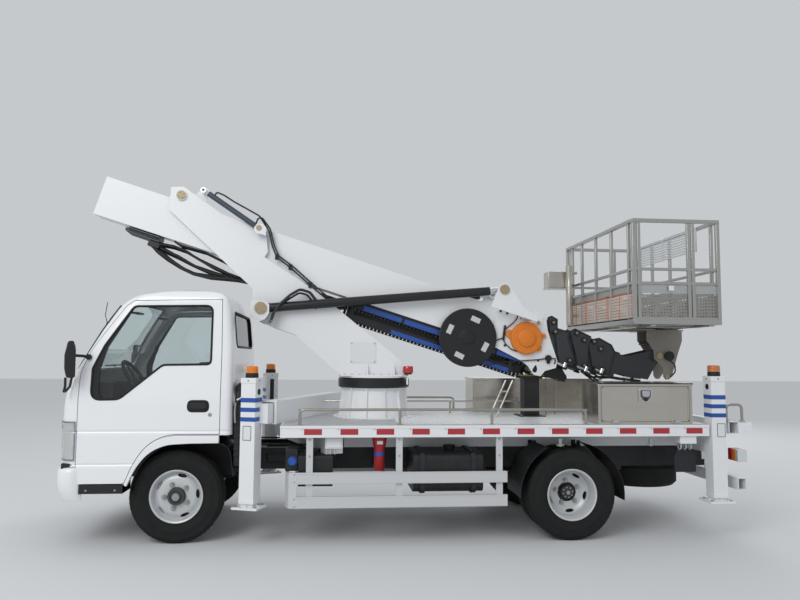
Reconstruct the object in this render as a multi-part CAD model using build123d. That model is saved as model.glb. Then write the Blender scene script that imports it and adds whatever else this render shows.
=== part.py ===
from build123d import *
import math
import os

# Driving dimensions in millimetres, measured from the front axle, front at minus X, left at minus Y
OUT = "parts"
WHEELBASE = 3360.0
FRONT_END = -985.0
REAR_END = 5005.0
MID = (FRONT_END + REAR_END) / 2
TYRE_R = 385.0
TYRE_W = 200.0
RIM_R = 216.0
FRONT_Y = 695.0
TWIN_Y = (596.0, 828.0)
RAIL_Y = (290.0, 350.0)
RAIL_Z = (540.0, 730.0)
DECK_Z = 985.0
DECK_HALF = 945.0
DECK_X = (860.0, 4600.0)
SLEW_X = 1690.0
BASE_TOP = 1383.0
BOOM_DROP = 17.5
PIVOT = (-164.0, 3077.0)
LUFF_FOOT = (612.0, 2008.0)
LUFF_EYE = (2927.0, 2216.0)
LUFF_Y = 238.0
LEVEL_FOOT = (575.0, 2768.0)
LEVEL_EYE = (45.0, 3125.0)
LEVEL_Y = -212.0
NOSE_PIN = (4560.0, 1590.0)
LOWER_PIN = (4640.0, 1388.0)
SWING_X = 4700.0
BASKET_X = (3950.0, 4775.0)
BASKET_Y = 900.0
BASKET_Z = (1866.0, 2823.0)
LEG_HALF = 65.0
SWEEP = 19.6

NODES = {}


def bx(x0, x1, y0, y1, z0, z1):
    return Pos((x0 + x1) / 2, (y0 + y1) / 2, (z0 + z1) / 2) * Box(x1 - x0, y1 - y0, z1 - z0)


def rod_y(x, z, r, y0, y1):
    return Pos(x, (y0 + y1) / 2, z) * Rot(90, 0, 0) * Cylinder(r, abs(y1 - y0))


def rod_z(x, y, r, z0, z1):
    return Pos(x, y, (z0 + z1) / 2) * Cylinder(r, z1 - z0)


def bar(p, q, r, bore=0.0):
    a = Vector(*p)
    b = Vector(*q)
    d = b - a
    pl = Plane(origin=a, z_dir=d)
    c = Circle(r)
    if bore:
        c = c - Circle(bore)
    return extrude(pl * c, d.length)


def side_plate(points, y0, y1, rounding=0.0):
    face = make_face(Polyline(*[(x, z) for x, z in points], close=True))
    if rounding:
        face = fillet(face.vertices(), rounding)
    pl = Plane(origin=(0, y1, 0), x_dir=(1, 0, 0), z_dir=(0, -1, 0))
    return extrude(pl * face, y1 - y0)


def front_plate(points, x0, x1):
    face = make_face(Polyline(*points, close=True))
    pl = Plane(origin=(x0, 0, 0), x_dir=(0, 1, 0), z_dir=(1, 0, 0))
    return extrude(pl * face, x1 - x0)


def plan_plate(points, z0, z1):
    face = make_face(Polyline(*points, close=True))
    return Pos(0, 0, z0) * extrude(face, z1 - z0)


def to_world(along, up):
    c = math.cos(math.radians(BOOM_DROP))
    s = math.sin(math.radians(BOOM_DROP))
    return PIVOT[0] + along * c + up * s, PIVOT[1] - along * s + up * c


def boom_place():
    return Pos(PIVOT[0], 0, PIVOT[1]) * Rot(0, BOOM_DROP, 0)


def boom_box(x0, x1, y0, y1, z0, z1):
    return boom_place() * bx(x0, x1, y0, y1, z0, z1)


def boom_tube(x0, x1, half, top, bottom, wall):
    hollow = bx(x0, x1, -half, half, bottom, top)
    hollow = hollow - bx(x0 - 1, x1 + 1, -half + wall, half - wall, bottom + wall, top - wall)
    return boom_place() * hollow


def boom_plate(points, y0, y1):
    return side_plate([to_world(x, z) for x, z in points], y0, y1)


def both_sides(make):
    return [make(-1), make(1)]


def add(name, *shapes):
    solids = []
    for shape in shapes:
        if isinstance(shape, (list, tuple)):
            solids.extend(shape)
        else:
            solids.append(shape)
    NODES.setdefault(name, []).extend(solids)


def yy(side, near, far):
    return (min(side * near, side * far), max(side * near, side * far))


# Chassis frame: two channel rails with cross members
def chassis():
    parts = []
    for s in (-1, 1):
        y0, y1 = yy(s, *RAIL_Y)
        rail = bx(-860, 4880, y0, y1, *RAIL_Z)
        i0, i1 = yy(s, RAIL_Y[0] - 1, RAIL_Y[1] - 8)
        rail = rail - bx(-861, 4881, i0, i1, RAIL_Z[0] + 8, RAIL_Z[1] - 8)
        parts.append(rail)
    frame = parts[0] + parts[1]
    for x in (-830, 640, 1400, 2350, 2850, 3900, 4830):
        frame = frame + bx(x - 30, x + 30, -345, 345, 560, 700)
    for x in (-640, 390):
        for s in (-1, 1):
            frame = frame + bx(x - 30, x + 30, *yy(s, 296, 344), 729, 930)
    return frame - bar((300, 0, 620), (WHEELBASE - 60, 0, 422), 62)


add("chassis_frame", chassis())

# Sub-frame under the deck, sitting on the rails
sub = [bx(1400, 4606, *yy(s, 285, 350), 730, 885) for s in (-1, 1)]
sub_all = sub[0] + sub[1]
for x in (1440, 2100, 2800, 3500, 4200, 4570):
    sub_all = sub_all + bx(x - 30, x + 30, -300, 300, 760, 885)
add("sub_frame", sub_all)

# Engine, gearbox and propeller shaft as plain blocks
engine = bx(-560, 300, -250, 250, 470, 900)
gearbox = bx(300, 560, -150, 150, 480, 720)
shaft = bar((560, 0, 600), (WHEELBASE - 180, 0, 430), 38)
mounts = [bx(-200, -140, *yy(s, 250, 342), 600, 640) for s in (-1, 1)]
add("powertrain", engine + gearbox + shaft + mounts[0] + mounts[1])

# Front axle beam with bosses, and steel leaf springs
KINGPIN_Y = 545.0
beam_points = [(-530, 450), (-515, 450), (-430, 400), (430, 400), (515, 450), (530, 450),
               (530, 320), (515, 320), (430, 330), (-430, 330), (-515, 320), (-530, 320)]
beam = front_plate(beam_points, -38, 38)
add("axles", beam + rod_z(0, -KINGPIN_Y, 34, 320, 450) + rod_z(0, KINGPIN_Y, 34, 320, 450))


def leaf(x_mid, half, z_mid, z_end, y, thick_mid):
    pts = [(x_mid - half, z_end), (x_mid - half / 2, (z_mid + thick_mid + z_end) / 2 - 8),
           (x_mid, z_mid + thick_mid), (x_mid + half / 2, (z_mid + thick_mid + z_end) / 2 - 8),
           (x_mid + half, z_end), (x_mid + half, z_end - 16), (x_mid + half / 2, z_end - 52),
           (x_mid + 60, z_mid), (x_mid - 60, z_mid), (x_mid - half / 2, z_end - 52),
           (x_mid - half, z_end - 16)]
    pack = side_plate(pts, y - 34, y + 34)
    for x in (x_mid - half + 25, x_mid + half - 25):
        pack = pack + bx(x - 25, x + 25, y - 30, y + 30, z_end - 12, RAIL_Z[0])
    return pack


add("leaf_springs", leaf(0, 600, 400, 515, -316, 50), leaf(0, 600, 400, 515, 316, 50))
add("leaf_springs", leaf(WHEELBASE, 680, 445, 525, -316, 62), leaf(WHEELBASE, 680, 445, 525, 316, 62))

housing = rod_y(WHEELBASE, 385, 60, -640, 640)
housing = housing + Pos(WHEELBASE, 0, 385) * Rot(90, 0, 0) * Sphere(155)
housing = housing + rod_y(WHEELBASE, 385, 150, -487, -470) + rod_y(WHEELBASE, 385, 150, 470, 487)
add("axles", housing)

# Steering knuckles, turning about the kingpin bosses
for s, name in ((-1, "knuckle_left"), (1, "knuckle_right")):
    body = bx(-60, 60, *yy(s, 584, 604), 299, 471)
    body = body + bx(-40, 40, *yy(s, 515, 590), 450, 471) + bx(-40, 40, *yy(s, 515, 590), 299, 320)
    body = body + rod_y(0, 385, 100, s * 600, s * 607) + rod_y(0, 385, 40, s * 600, s * 690)
    add(name, body)


# Wheels: tyre with a rounded tread and a hollow air space, steel dish rims
def tyre(x, y_mid):
    w = TYRE_W / 2
    prof = [(RIM_R + 2, -w + 22), (RIM_R + 30, -w + 6), (RIM_R + 70, -w), (TYRE_R - 55, -w),
            (TYRE_R - 18, -w + 12), (TYRE_R - 3, -w + 32), (TYRE_R, -w + 60),
            (TYRE_R, w - 60), (TYRE_R - 3, w - 32), (TYRE_R - 18, w - 12), (TYRE_R - 55, w),
            (RIM_R + 70, w), (RIM_R + 30, w - 6), (RIM_R + 2, w - 22),
            (RIM_R + 2, w - 40), (TYRE_R - 40, w - 30), (TYRE_R - 40, -w + 30), (RIM_R + 2, -w + 40)]
    face = make_face(Polyline(*[(r, t) for r, t in prof], close=True))
    body = revolve(Plane.XY * face, Axis.Y, 360)
    return Pos(x, y_mid, 385) * body


def rim(x, y_mid, outward, dish_face, hub_r, hub_len):
    half = TYRE_W / 2 - 14
    barrel = rod_y(0, 0, RIM_R + 2, -half, half) - rod_y(0, 0, RIM_R - 16, -half - 1, half + 1)
    disc0 = outward * dish_face
    disc = rod_y(0, 0, RIM_R - 10, disc0 - 8, disc0 + 8)
    slots = [Rot(0, 36 + 72 * k, 0) * (Pos(160, disc0, 0) * Rot(90, 0, 0) * extrude(
        SlotOverall(64, 30, rotation=90), 30, both=True)) for k in range(5)]
    disc = disc - slots
    hub = rod_y(0, 0, hub_r, disc0, disc0 + outward * hub_len)
    nuts = []
    for k in range(5):
        a = math.radians(36 + 72 * k + 20)
        nuts.append(rod_y(113 * math.cos(a), 113 * math.sin(a), 17, disc0 + outward * 8, disc0 + outward * 36))
    body = barrel + disc + hub
    for n in nuts:
        body = body + n
    return Pos(x, y_mid, 385) * body


for s, side in ((-1, "left"), (1, "right")):
    add("front_tyre_" + side, tyre(0, s * FRONT_Y))
    rim_body = rim(0, s * FRONT_Y, s, 58, 72, 46)
    drum = rod_y(0, 385, 160, s * 615, s * 700) + rod_y(0, 385, 90, s * 699, s * 750)
    add("front_rim_" + side, rim_body + drum - rod_y(0, 385, 40.3, s * 600, s * 694))
    outer = rim(WHEELBASE, s * TWIN_Y[1], -s, 78, 60, 20)
    inner = rim(WHEELBASE, s * TWIN_Y[0], s, 76, 90, 10)
    link = rod_y(WHEELBASE, 385, 148, s * 672, s * 752)
    stub = rod_y(WHEELBASE, 385, 78, s * 745, s * 842)
    back = rod_y(WHEELBASE, 385, 160, s * 495, s * 674)
    add("rear_tyres_" + side, tyre(WHEELBASE, s * TWIN_Y[0]), tyre(WHEELBASE, s * TWIN_Y[1]))
    add("rear_rims_" + side, outer + inner + link + stub + back - rod_y(WHEELBASE, 385, 60.3, s * 480, s * 646))


# Cab: three silhouettes intersected, hollowed, then cut into shell, doors and glass
CAB_SIDE = [(-905, 655), (-925, 1020), (-905, 1200), (-862, 1385), (-650, 1775), (-505, 1990), (-400, 2072), (-200, 2116),
            (60, 2128), (330, 2112), (420, 2075), (455, 1990), (470, 1700), (470, 900)]
CAB_HALF = 878.0
CAB_TOP_HALF = 806.0
BELT = 1190.0
LAMP_PROUD = 14.0


def cab_solid(d, low):
    pts = [(-905, low)] + CAB_SIDE[1:-1] + [(470, low)]
    face = make_face(Polyline(*pts, close=True))
    face = fillet(face.vertices().sort_by(Axis.Y)[-7:], 40)
    if d:
        face = offset(face, -d, kind=Kind.INTERSECTION)
    pl = Plane(origin=(0, 1000, 0), x_dir=(1, 0, 0), z_dir=(0, -1, 0))
    side = extrude(pl * face, 2000)
    h, t = CAB_HALF - d, CAB_TOP_HALF - d
    front = Polyline((-h, low - 200), (-h, BELT), (-t, 2160 - d), (t, 2160 - d), (h, BELT), (h, low - 200), close=True)
    ff = make_face(front)
    ff = fillet(ff.vertices().sort_by(Axis.Y)[-2:], 105)
    fpl = Plane(origin=(-1500, 0, 0), x_dir=(0, 1, 0), z_dir=(1, 0, 0))
    across = extrude(fpl * ff, 3000)
    plan = Polyline((-890 + d, -h), (470 - d, -h), (470 - d, h), (-890 + d, h), (-935 + d, 500), (-952 + d, 0),
                    (-935 + d, -500), close=True)
    pf = make_face(plan)
    rear_corners = pf.vertices().sort_by(Axis.X)[-2:]
    pf = fillet(rear_corners, 55)
    front_corners = [v for v in pf.vertices() if abs(v.X - (-890 + d)) < 1]
    pf = fillet(front_corners, 120)
    down = extrude(pf, 3000)
    return side & across & down


outer_cab = cab_solid(0, 507)
inner_cab = cab_solid(42, 300)
WALL_CUT = [(-300, 480), (470, 480), (470, 900), (-68, 900), (-226, 816), (-327, 674), (-397, 480)]
shell = outer_cab - inner_cab
arch = side_plate([(-397, 300), (-397, 500), (-327, 674), (-226, 816), (-68, 900), (600, 900), (600, 300)],
                  -1000, 1000)
shell = shell - arch
shell = shell - bx(-1200, -750, -1000, 1000, 300, 655)
floor_in = cab_solid(41, 480)
floor = floor_in & bx(-900, 440, -828, 828, 930, 960)
footwell = [floor_in & bx(-750, -738, *yy(s, 360, 828), 507, 940) for s in (-1, 1)]
shelf = [floor_in & bx(-895, -738, *yy(s, 362, 828), 655, 667) for s in (-1, 1)]
DOOR = [(-765, 507), (-765, 1192), (-760, 1418), (-560, 1801), (-452, 1962), (-372, 2012), (338, 2032),
        (352, 1600), (356, 1027), (352, 908), (-72, 908), (-230, 824), (-332, 680), (-402, 507)]
WINDOW = [(-383, 1974), (265, 1987), (267, 1488), (-128, 1481), (-467, 1200), (-640, 1195), (-688, 1249),
          (-690, 1450), (-605, 1640)]

FLARE = [(400, 906), (358, 906), (352, 901), (-68, 901), (-224, 814), (-326, 672), (-396, 497), (-352, 484), (-307, 622),
         (-223, 735), (-74, 818), (119, 834), (400, 836)]


def inset(points, d):
    face = make_face(Polyline(*points, close=True))
    return offset(face, -d, kind=Kind.INTERSECTION)


def side_prism(face, y0, y1):
    pl = Plane(origin=(0, y1, 0), x_dir=(1, 0, 0), z_dir=(0, -1, 0))
    return extrude(pl * face, y1 - y0)


WIND_HOLE = [(-720, 1425), (-735, 1500), (-650, 1990), (-560, 2035), (560, 2035), (650, 1990), (735, 1500), (720, 1425)]
BACK_HOLE = [(-560, 1500), (-560, 1830), (-520, 1870), (520, 1870), (560, 1830), (560, 1500), (520, 1460), (-520, 1460)]


def x_prism(face, x0, x1):
    pl = Plane(origin=(x0, 0, 0), x_dir=(0, 1, 0), z_dir=(1, 0, 0))
    return extrude(pl * face, x1 - x0)


glass_layer = cab_solid(14, 507) - cab_solid(20, 300)
glass_parts = []
flares = []
shell = shell - x_prism(inset(WIND_HOLE, 0), -1000, -330)
glass_parts.append((glass_layer & x_prism(inset(WIND_HOLE, 0), -1000, -330)))
shell = shell - x_prism(inset(BACK_HOLE, 0), 380, 600)
glass_parts.append((glass_layer & x_prism(inset(BACK_HOLE, 0), 380, 600)))

for s, side in ((-1, "left"), (1, "right")):
    y0, y1 = yy(s, CAB_TOP_HALF - 44, CAB_HALF + 122)
    leaf_prism = side_prism(inset(DOOR, 6), y0, y1)
    gap_prism = side_prism(inset(DOOR, 0), y0, y1)
    win_prism = side_prism(inset(WINDOW, 0), y0, y1)
    door = (outer_cab - inner_cab) & leaf_prism
    door = door - win_prism
    handle = bx(88, 255, *yy(s, CAB_HALF - 12, CAB_HALF + 16), 1128, 1160)
    door = door + handle
    shell = shell - gap_prism
    for z in (640, 1080):
        shell = shell + rod_z(-762, s * (CAB_HALF - 4), 2.7, z, z + 90)
        shell = shell + bx(-766, -762, *yy(s, CAB_HALF - 5.5, CAB_HALF - 2.5), z, z + 90)
    flares.append(side_plate(FLARE, *yy(s, CAB_HALF - 42, CAB_HALF + 8)))
    add("door_" + side, door)
    add("door_glass_" + side, glass_layer & win_prism)

shell = shell + floor + footwell[0] + footwell[1] + shelf[0] + shelf[1]
add("cab_shell", shell, [flare - shell for flare in flares])
add("cab_glass", glass_parts)

# Cab interior: dashboard, wheel, seats and a rear wall pad
dash = bx(-790, -560, -730, 730, 1120, 1330) + bx(-760, -640, -700, 700, 960, 1121)
column = bar((-600, -400, 1230), (-455, -400, 1330), 28)
wheel = Plane(origin=(-450, -400, 1334), z_dir=(-145, 0, -100)) * Torus(205, 15)
spoke = Plane(origin=(-450, -400, 1334), z_dir=(-145, 0, -100)) * (Box(400, 34, 14) + Cylinder(48, 26))
seats = []
for y in (-430, 60, 470):
    half = 240 if y < 0 else 195
    seats.append(bx(-150, 330, y - half, y + half, 1090, 1230))
    seats.append(side_plate([(240, 1225), (320, 1225), (398, 1830), (318, 1830)], y - half, y + half))
plinth = bx(-120, 400, -680, 680, 960, 1095)
interior = dash + column + wheel + spoke + plinth
for part in seats:
    interior = interior + part
add("cab_interior", interior)


# Bumper, lamps, mirrors
def plan_ring(front, half, corner, thick):
    pts = [(front + corner, -half), (front + 40, -half + 170), (front, -360), (front, 360),
           (front + 40, half - 170), (front + corner, half)]
    return pts + [(front + corner + 5, half - thick * 0.2), (front + corner + 5, half - 45)] + \
        [(x + thick, y * 0.93) for x, y in reversed(pts[1:-1])] + [(front + corner + 5, -half + 45)]


bump = plan_plate(plan_ring(FRONT_END, 905, 213, 60), 376, 648)
stays = [bx(-935, -860, *yy(s, 290, 350), 560, 640) for s in (-1, 1)]
add("bumper", bump + stays[0] + stays[1])

lamp_skin = cab_solid(-LAMP_PROUD, 480) - cab_solid(0, 470)
for s in (-1, 1):
    lens = front_plate([(s * 560, 700), (s * 900, 700), (s * 900, 1015), (s * 620, 1015), (s * 540, 880)], -990, -800)
    add("lamps", lamp_skin & lens)

mirror_parts = []
for s in (-1, 1):
    head = bx(-880, -800, *yy(s, 925, 1045), 1371, 1674)
    arm = bar((-842, s * 935, 1640), (-740, s * 865, 1560), 14) + bar((-842, s * 935, 1420), (-800, s * 860, 1400), 14)
    mirror_parts.append(head + (arm - cab_solid(0, 480)))
add("mirrors", mirror_parts)

# Steps below the doors
for_steps = []
for s in (-1, 1):
    tread = [(-757, 640), (-462, 640), (-445, 700), (-420, 760), (-410, 790), (-410, 880), (-757, 880)]
    for_steps.append(plan_plate([(x, s * y) for x, y in tread], 433, 505))
    for_steps.append(bx(-700, -640, *yy(s, 350, 660), 545, 575) + bx(-700, -640, *yy(s, 640, 700), 480, 575))
add("cab_steps", for_steps[0] + for_steps[1], for_steps[2] + for_steps[3])


# Tanks and boxes along the frame
fuel = fillet(bx(1980, 2585, -890, -430, 414, 746).edges().filter_by(Axis.X), 60)
fuel = fuel + bx(2080, 2120, -440, -350, 600, 720) + bx(2440, 2480, -440, -350, 600, 720)
add("tanks", fuel)
right_box = fillet(bx(1500, 1960, 450, 890, 430, 746).edges().filter_by(Axis.X), 40)
right_box = right_box + bx(1600, 1640, 350, 460, 600, 720) + bx(1820, 1860, 350, 460, 600, 720)
air_tank = bar((2150, 610, 560), (2700, 610, 560), 130) + bx(2230, 2270, 350, 620, 600, 640) + \
    bx(2580, 2620, 350, 620, 600, 640)
urea = fillet(bx(1010, 1300, -880, -560, 470, 735).edges().filter_by(Axis.X), 30)
urea = urea + bx(1130, 1170, -570, -350, 600, 720) + Pos(1155, -720, 750) * Cylinder(35, 34)
add("tanks", right_box, air_tank, urea)

spare = revolve(make_face(Polyline((RIM_R, -70), (RIM_R + 60, -100), (TYRE_R - 30, -100), (TYRE_R, -70),
                                   (TYRE_R, 70), (TYRE_R - 30, 100), (RIM_R + 60, 100), (RIM_R, 70),
                                   close=True)), Axis.Y, 360)
SPARE_X = WHEELBASE + 970
spare = Pos(SPARE_X, 0, 438) * Rot(90, 0, 0) * spare
disc = rod_z(SPARE_X, 0, RIM_R + 1, 400, 416) + rod_z(SPARE_X, 0, 28, 410, 560)
spare = spare + disc + bx(SPARE_X - 40, SPARE_X + 40, -342, 342, 548, 570)
add("spare_wheel", spare)

# Side guards with four struts a side
for s, side in ((-1, "left"), (1, "right")):
    body = bx(1000, 2784, *yy(s, 918, 940), 502, 596) + bx(1000, 2784, *yy(s, 918, 940), 304, 400)
    body = body + bx(905, 930, *yy(s, 780, 862), 304, 596)
    nose = plan_plate([(1001, s * 940), (1001, s * 918), (960, s * 905), (930, s * 862), (905, s * 862), (935, s * 918)],
                      304, 596)
    body = body + nose
    for x in (1105, 1858, 2720):
        body = body + bx(x - 28, x + 28, *yy(s, 906, 919), 304, 885)
    add("side_guards", body)


# Rear mudguards
def arc_sheet(a0, a1, r, thick, y0, y1):
    pts = []
    n = 10
    for k in range(n + 1):
        a = math.radians(a0 + (a1 - a0) * k / n)
        pts.append((WHEELBASE + r * math.cos(a), 385 + r * math.sin(a)))
    for k in range(n, -1, -1):
        a = math.radians(a0 + (a1 - a0) * k / n)
        pts.append((WHEELBASE + (r - thick) * math.cos(a), 385 + (r - thick) * math.sin(a)))
    return side_plate(pts, y0, y1)


guards = []
for s in (-1, 1):
    y0, y1 = yy(s, 490, 935)
    front_piece = arc_sheet(118, 182, 462, 5, y0, y1) + bx(WHEELBASE - 230, WHEELBASE - 190, *yy(s, 352, 500), 740, 760)
    front_piece = front_piece + bx(WHEELBASE - 230, WHEELBASE - 190, *yy(s, 350, 356), 700, 790) + bx(WHEELBASE - 225, WHEELBASE - 195, *yy(s, 480, 500), 742, 800)
    rear_piece = arc_sheet(-6, 62, 462, 5, y0, y1) + bx(WHEELBASE + 190, WHEELBASE + 230, *yy(s, 352, 500), 740, 760)
    rear_piece = rear_piece + bx(WHEELBASE + 190, WHEELBASE + 230, *yy(s, 350, 356), 700, 790) + bx(WHEELBASE + 195, WHEELBASE + 225, *yy(s, 480, 500), 742, 800)
    guards.extend([front_piece, rear_piece])
add("rear_mudguards", guards)

# Deck with hollow side members, cross bearers and a step at the tail
deck = plan_plate([(860, -945), (4600, -945), (4600, 945), (860, 945)], 977, DECK_Z)
for s in (-1, 1):
    rim_box = bx(860, 4600, *yy(s, 905, 945), 885, 978) - bx(866, 4594, *yy(s, 904, 939), 891, 972)
    deck = deck + rim_box
for x in (900, 1440, 2100, 2800, 3500, 4200, 4570):
    deck = deck + bx(x - 20, x + 20, -910, 910, 887 if x < 1400 else 885, 978)
add("deck", deck)

# Handrails on the deck
def hoop(x0, x1, y, z0, z1, r, posts):
    body = bar((x0, y, z0), (x0, y, z1 - 40), r) + bar((x1, y, z0), (x1, y, z1 - 40), r)
    body = body + bar((x0, y, z1 - 40), (x0 + 40, y, z1), r) + bar((x1, y, z1 - 40), (x1 - 40, y, z1), r)
    body = body + bar((x0 + 38, y, z1), (x1 - 38, y, z1), r)
    for x in posts:
        body = body + bar((x, y, z0), (x, y, z1), r)
    return body


rails = [hoop(1020, 3490, -918, DECK_Z, 1114, 12, (1862, 2657)),
         hoop(1500, 2640, 918, DECK_Z, 1114, 12, (2060,)),
         hoop(4787, 4933, -900, 1010, 1156, 13, ())]
add("deck_rails", rails)

# Stainless boxes on the deck
def box_shell(x0, x1, y0, y1, z0, z1, wall):
    return bx(x0, x1, y0, y1, z0, z1) - bx(x0 + wall, x1 - wall, y0 + wall, y1 - wall, z0 + wall, z1 - wall)


tool = box_shell(3597, 4455, -930, -530, DECK_Z, 1338, 12)
tool = tool - bx(3622, 4430, -940, -910, 1008, 1318)
for x in (3750, 4300):
    tool = tool + bx(x - 40, x + 40, -925, -914, 1000, 1010.7)
    tool = tool + bar((x - 40, -936, 1003), (x + 40, -936, 1003), 6.5)
add("toolbox", tool)
lid = bx(3625, 4427, -930, -914, 1011, 1315)
lid = lid + bx(3960, 4088, -938, -929, 1182, 1305)
add("toolbox_door", lid)
far_boxes = [box_shell(2780, 3345, 530, 930, DECK_Z, 1338, 12) + bx(2770, 3355, 520, 936, 1326, 1340),
             box_shell(3510, 4200, 530, 930, DECK_Z, 1338, 12) + bx(3500, 4210, 520, 936, 1326, 1340)]
add("far_boxes", far_boxes)

# Boom rest
post = bx(3176, 3328, -75, 75, DECK_Z, 1360) + bx(3120, 3380, -120, 120, DECK_Z, 995)
post = post + bx(3138, 3350, -110, 110, 1358, 1381.5)
add("boom_rest", post)

# Pedestal cone with ribs and the slew guard
cone = Pos(SLEW_X, 0, (DECK_Z + 1265) / 2) * Cone(330, 296, 1265 - DECK_Z)
for k in range(12):
    cone = cone + Pos(SLEW_X, 0, 0) * Rot(0, 0, 30 * k + 15) * side_plate(
        [(280, DECK_Z), (352, DECK_Z), (318, 1262), (280, 1262)], -6, 6)
add("pedestal", cone + rod_z(SLEW_X, 0, 318, 1255, 1265))
ring_prof = [(0, 1265), (330, 1265), (341, 1278), (341, 1350), (330, 1363), (0, 1363)]
ring = revolve(Plane.XZ * make_face(Polyline(*ring_prof, close=True)), Axis.Z, 360)
add("pedestal", Pos(SLEW_X, 0, 0) * ring)


# Outrigger boxes, beams with legs, and feet
def leg(x_mid, s, z_top):
    tube = bx(x_mid - LEG_HALF, x_mid + LEG_HALF, *yy(s, 830, 960), 350, z_top)
    tube = tube - bx(x_mid - 57, x_mid + 57, *yy(s, 838, 952), 420, z_top - 10)
    return tube - bx(x_mid - 51.3, x_mid + 51.3, *yy(s, 843.7, 946.3), 340, 421)


def foot(x_mid, s, z_top):
    y = s * 895
    body = bx(x_mid - 51, x_mid + 51, y - 51, y + 51, 326, z_top - 120)
    body = body + bx(x_mid - 113, x_mid + 113, y - 100, y + 100, 308, 326)
    return body


def beacon(x_mid, s, z):
    y = s * 895
    return rod_z(x_mid, y, 48, z, z + 42) + rod_z(x_mid, y, 40, z + 42, z + 92)


LEG_TOP = 1405.0
FRONT_LEG_TOP = 1375.0
FRONT_LEG_X = 615.0
REAR_LEG_X = 4683.0
LEVELS = {-1: (985.0, 1177.0), 1: (735.0, 885.0)}


def place_swept(s, half, z0, z1, t0, t1):
    box = bx(-half, half, t0, t1, z0, z1)
    return Pos(734.5, s * 800, 0) * Rot(0, 0, -SWEEP if s < 0 else 180 + SWEEP) * box


def square_to_beam(shape, s):
    return shape.rotate(Axis((FRONT_LEG_X, s * 895, 0), (0, 0, 1)), s * SWEEP)


for s in (-1, 1):
    z0, z1 = LEVELS[s]
    body = place_swept(s, 75, z0, z1, 0, 1720) - place_swept(s, 67, z0 + 8, z1 - 8, -1, 1712)
    collar = place_swept(s, 88, z0 - (0 if s < 0 else 5), z1 + 13, 0, 22) - place_swept(s, 67, z0 + 8, z1 - 8, -1, 23)
    body = body + collar + place_swept(s, 60, z0 + 7, z0 + 15, 4, 70)
    add("outrigger_boxes", body)
    tag = "left" if s < 0 else "right"
    beam = place_swept(s, 60, z0 + 15, z1 - 15, -112, 950)
    keep_out = bx(FRONT_LEG_X - 57, FRONT_LEG_X + 57, *yy(s, 838, 952), 340, FRONT_LEG_TOP - 10)
    leg_body = square_to_beam(leg(FRONT_LEG_X, s, FRONT_LEG_TOP) + beacon(FRONT_LEG_X, s, FRONT_LEG_TOP), s)
    add("outrigger_front_" + tag, leg_body + (beam - square_to_beam(keep_out, s)))
    add("foot_front_" + tag, square_to_beam(foot(FRONT_LEG_X, s, FRONT_LEG_TOP), s))

rear_box = bx(4618, 4748, -822, 822, 730, 885) - bx(4626, 4740, -830, 830, 738, 877)
rear_box = rear_box + bx(4626, 4740, -6, 6, 736, 880)
for s in (-1, 1):
    rear_box = rear_box + bx(4633, 4733, *yy(s, 750, 815), 737, 745)
add("outrigger_boxes", rear_box)
for s, tag in ((-1, "left"), (1, "right")):
    beam = bx(4633, 4733, *yy(s, 12, 834), 745, 870)
    add("outrigger_rear_" + tag, leg(REAR_LEG_X, s, LEG_TOP) + beam + beacon(REAR_LEG_X, s, LEG_TOP))
    add("foot_rear_" + tag, foot(REAR_LEG_X, s, LEG_TOP))

# Tail: cross beam, step and under-run bar
tail = bx(4790, 4884, -930, 930, 900, 1010) - bx(4796, 4878, -940, 940, 906, 1004)
tail = tail + bx(4884, REAR_END, -930, 930, 940, 950)
for s in (-1, 1):
    tail = tail + bx(4884, REAR_END, *yy(s, 900, 930), 925, 1000)
    tail = tail + bx(4800, 4870, *yy(s, 285, 350), 730, 902)
tail = tail + bx(REAR_END - 12, REAR_END, -930, 930, 925, 1000)
add("tail_frame", tail)
under = bx(4862, 4938, -930, 930, 412, 516) - bx(4868, 4932, -940, 940, 418, 510)
for s in (-1, 1):
    under = under + bx(4868, 4932, *yy(s, 350, 362), 512, 720) + bx(4840, 4932, *yy(s, 350, 362), 600, 720)
add("tail_frame", under)
tails = [bx(4938, 4985, *yy(s, 640, 880), 640, 760) + bx(4880, 4940, *yy(s, 640, 660), 690, 710) +
         bx(4860, 4884, *yy(s, 362, 662), 690, 710) for s in (-1, 1)]
add("lamps", tails)

# Turret: two leaning side plates joined by flanges
TURRET = [(-262, 3156), (-147, 3162), (217, 2907), (387, 2844), (520, 2800), (620, 2775), (640, 2700), (655, 2551),
          (625, 2502), (1109, 2194), (1330, 2015), (1930, 1532), (1995, 1383), (1362, 1383), (1262, 1471),
          (936, 1762), (700, 1840), (560, 1905), (524, 1960), (520, 2200), (-276, 2937)]
plates = both_sides(lambda s: side_plate(TURRET, *yy(s, 160, 178)))
turret = plates[0] + plates[1] + rod_z(SLEW_X, 0, 338, 1363, 1383)
turret = turret + side_plate([(380, 2375), (516, 2249), (516, 2210), (380, 2336)], -165, 165)
turret = turret + side_plate([(520, 2200), (540, 2200), (540, 1960), (524, 1960)], -165, 165)
turret = turret + side_plate([(936, 1782), (1262, 1491), (1362, 1400), (1362, 1380), (1262, 1471), (936, 1762)], -165, 165)
turret = turret + side_plate([(1620, 1781), (1930, 1532), (1995, 1383), (1975, 1383), (1912, 1524), (1606, 1770)],
                             -165, 165)
turret = turret + side_plate([(1380, 1383), (1400, 1383), (1400, 1700), (1380, 1720)], -165, 165)
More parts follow.
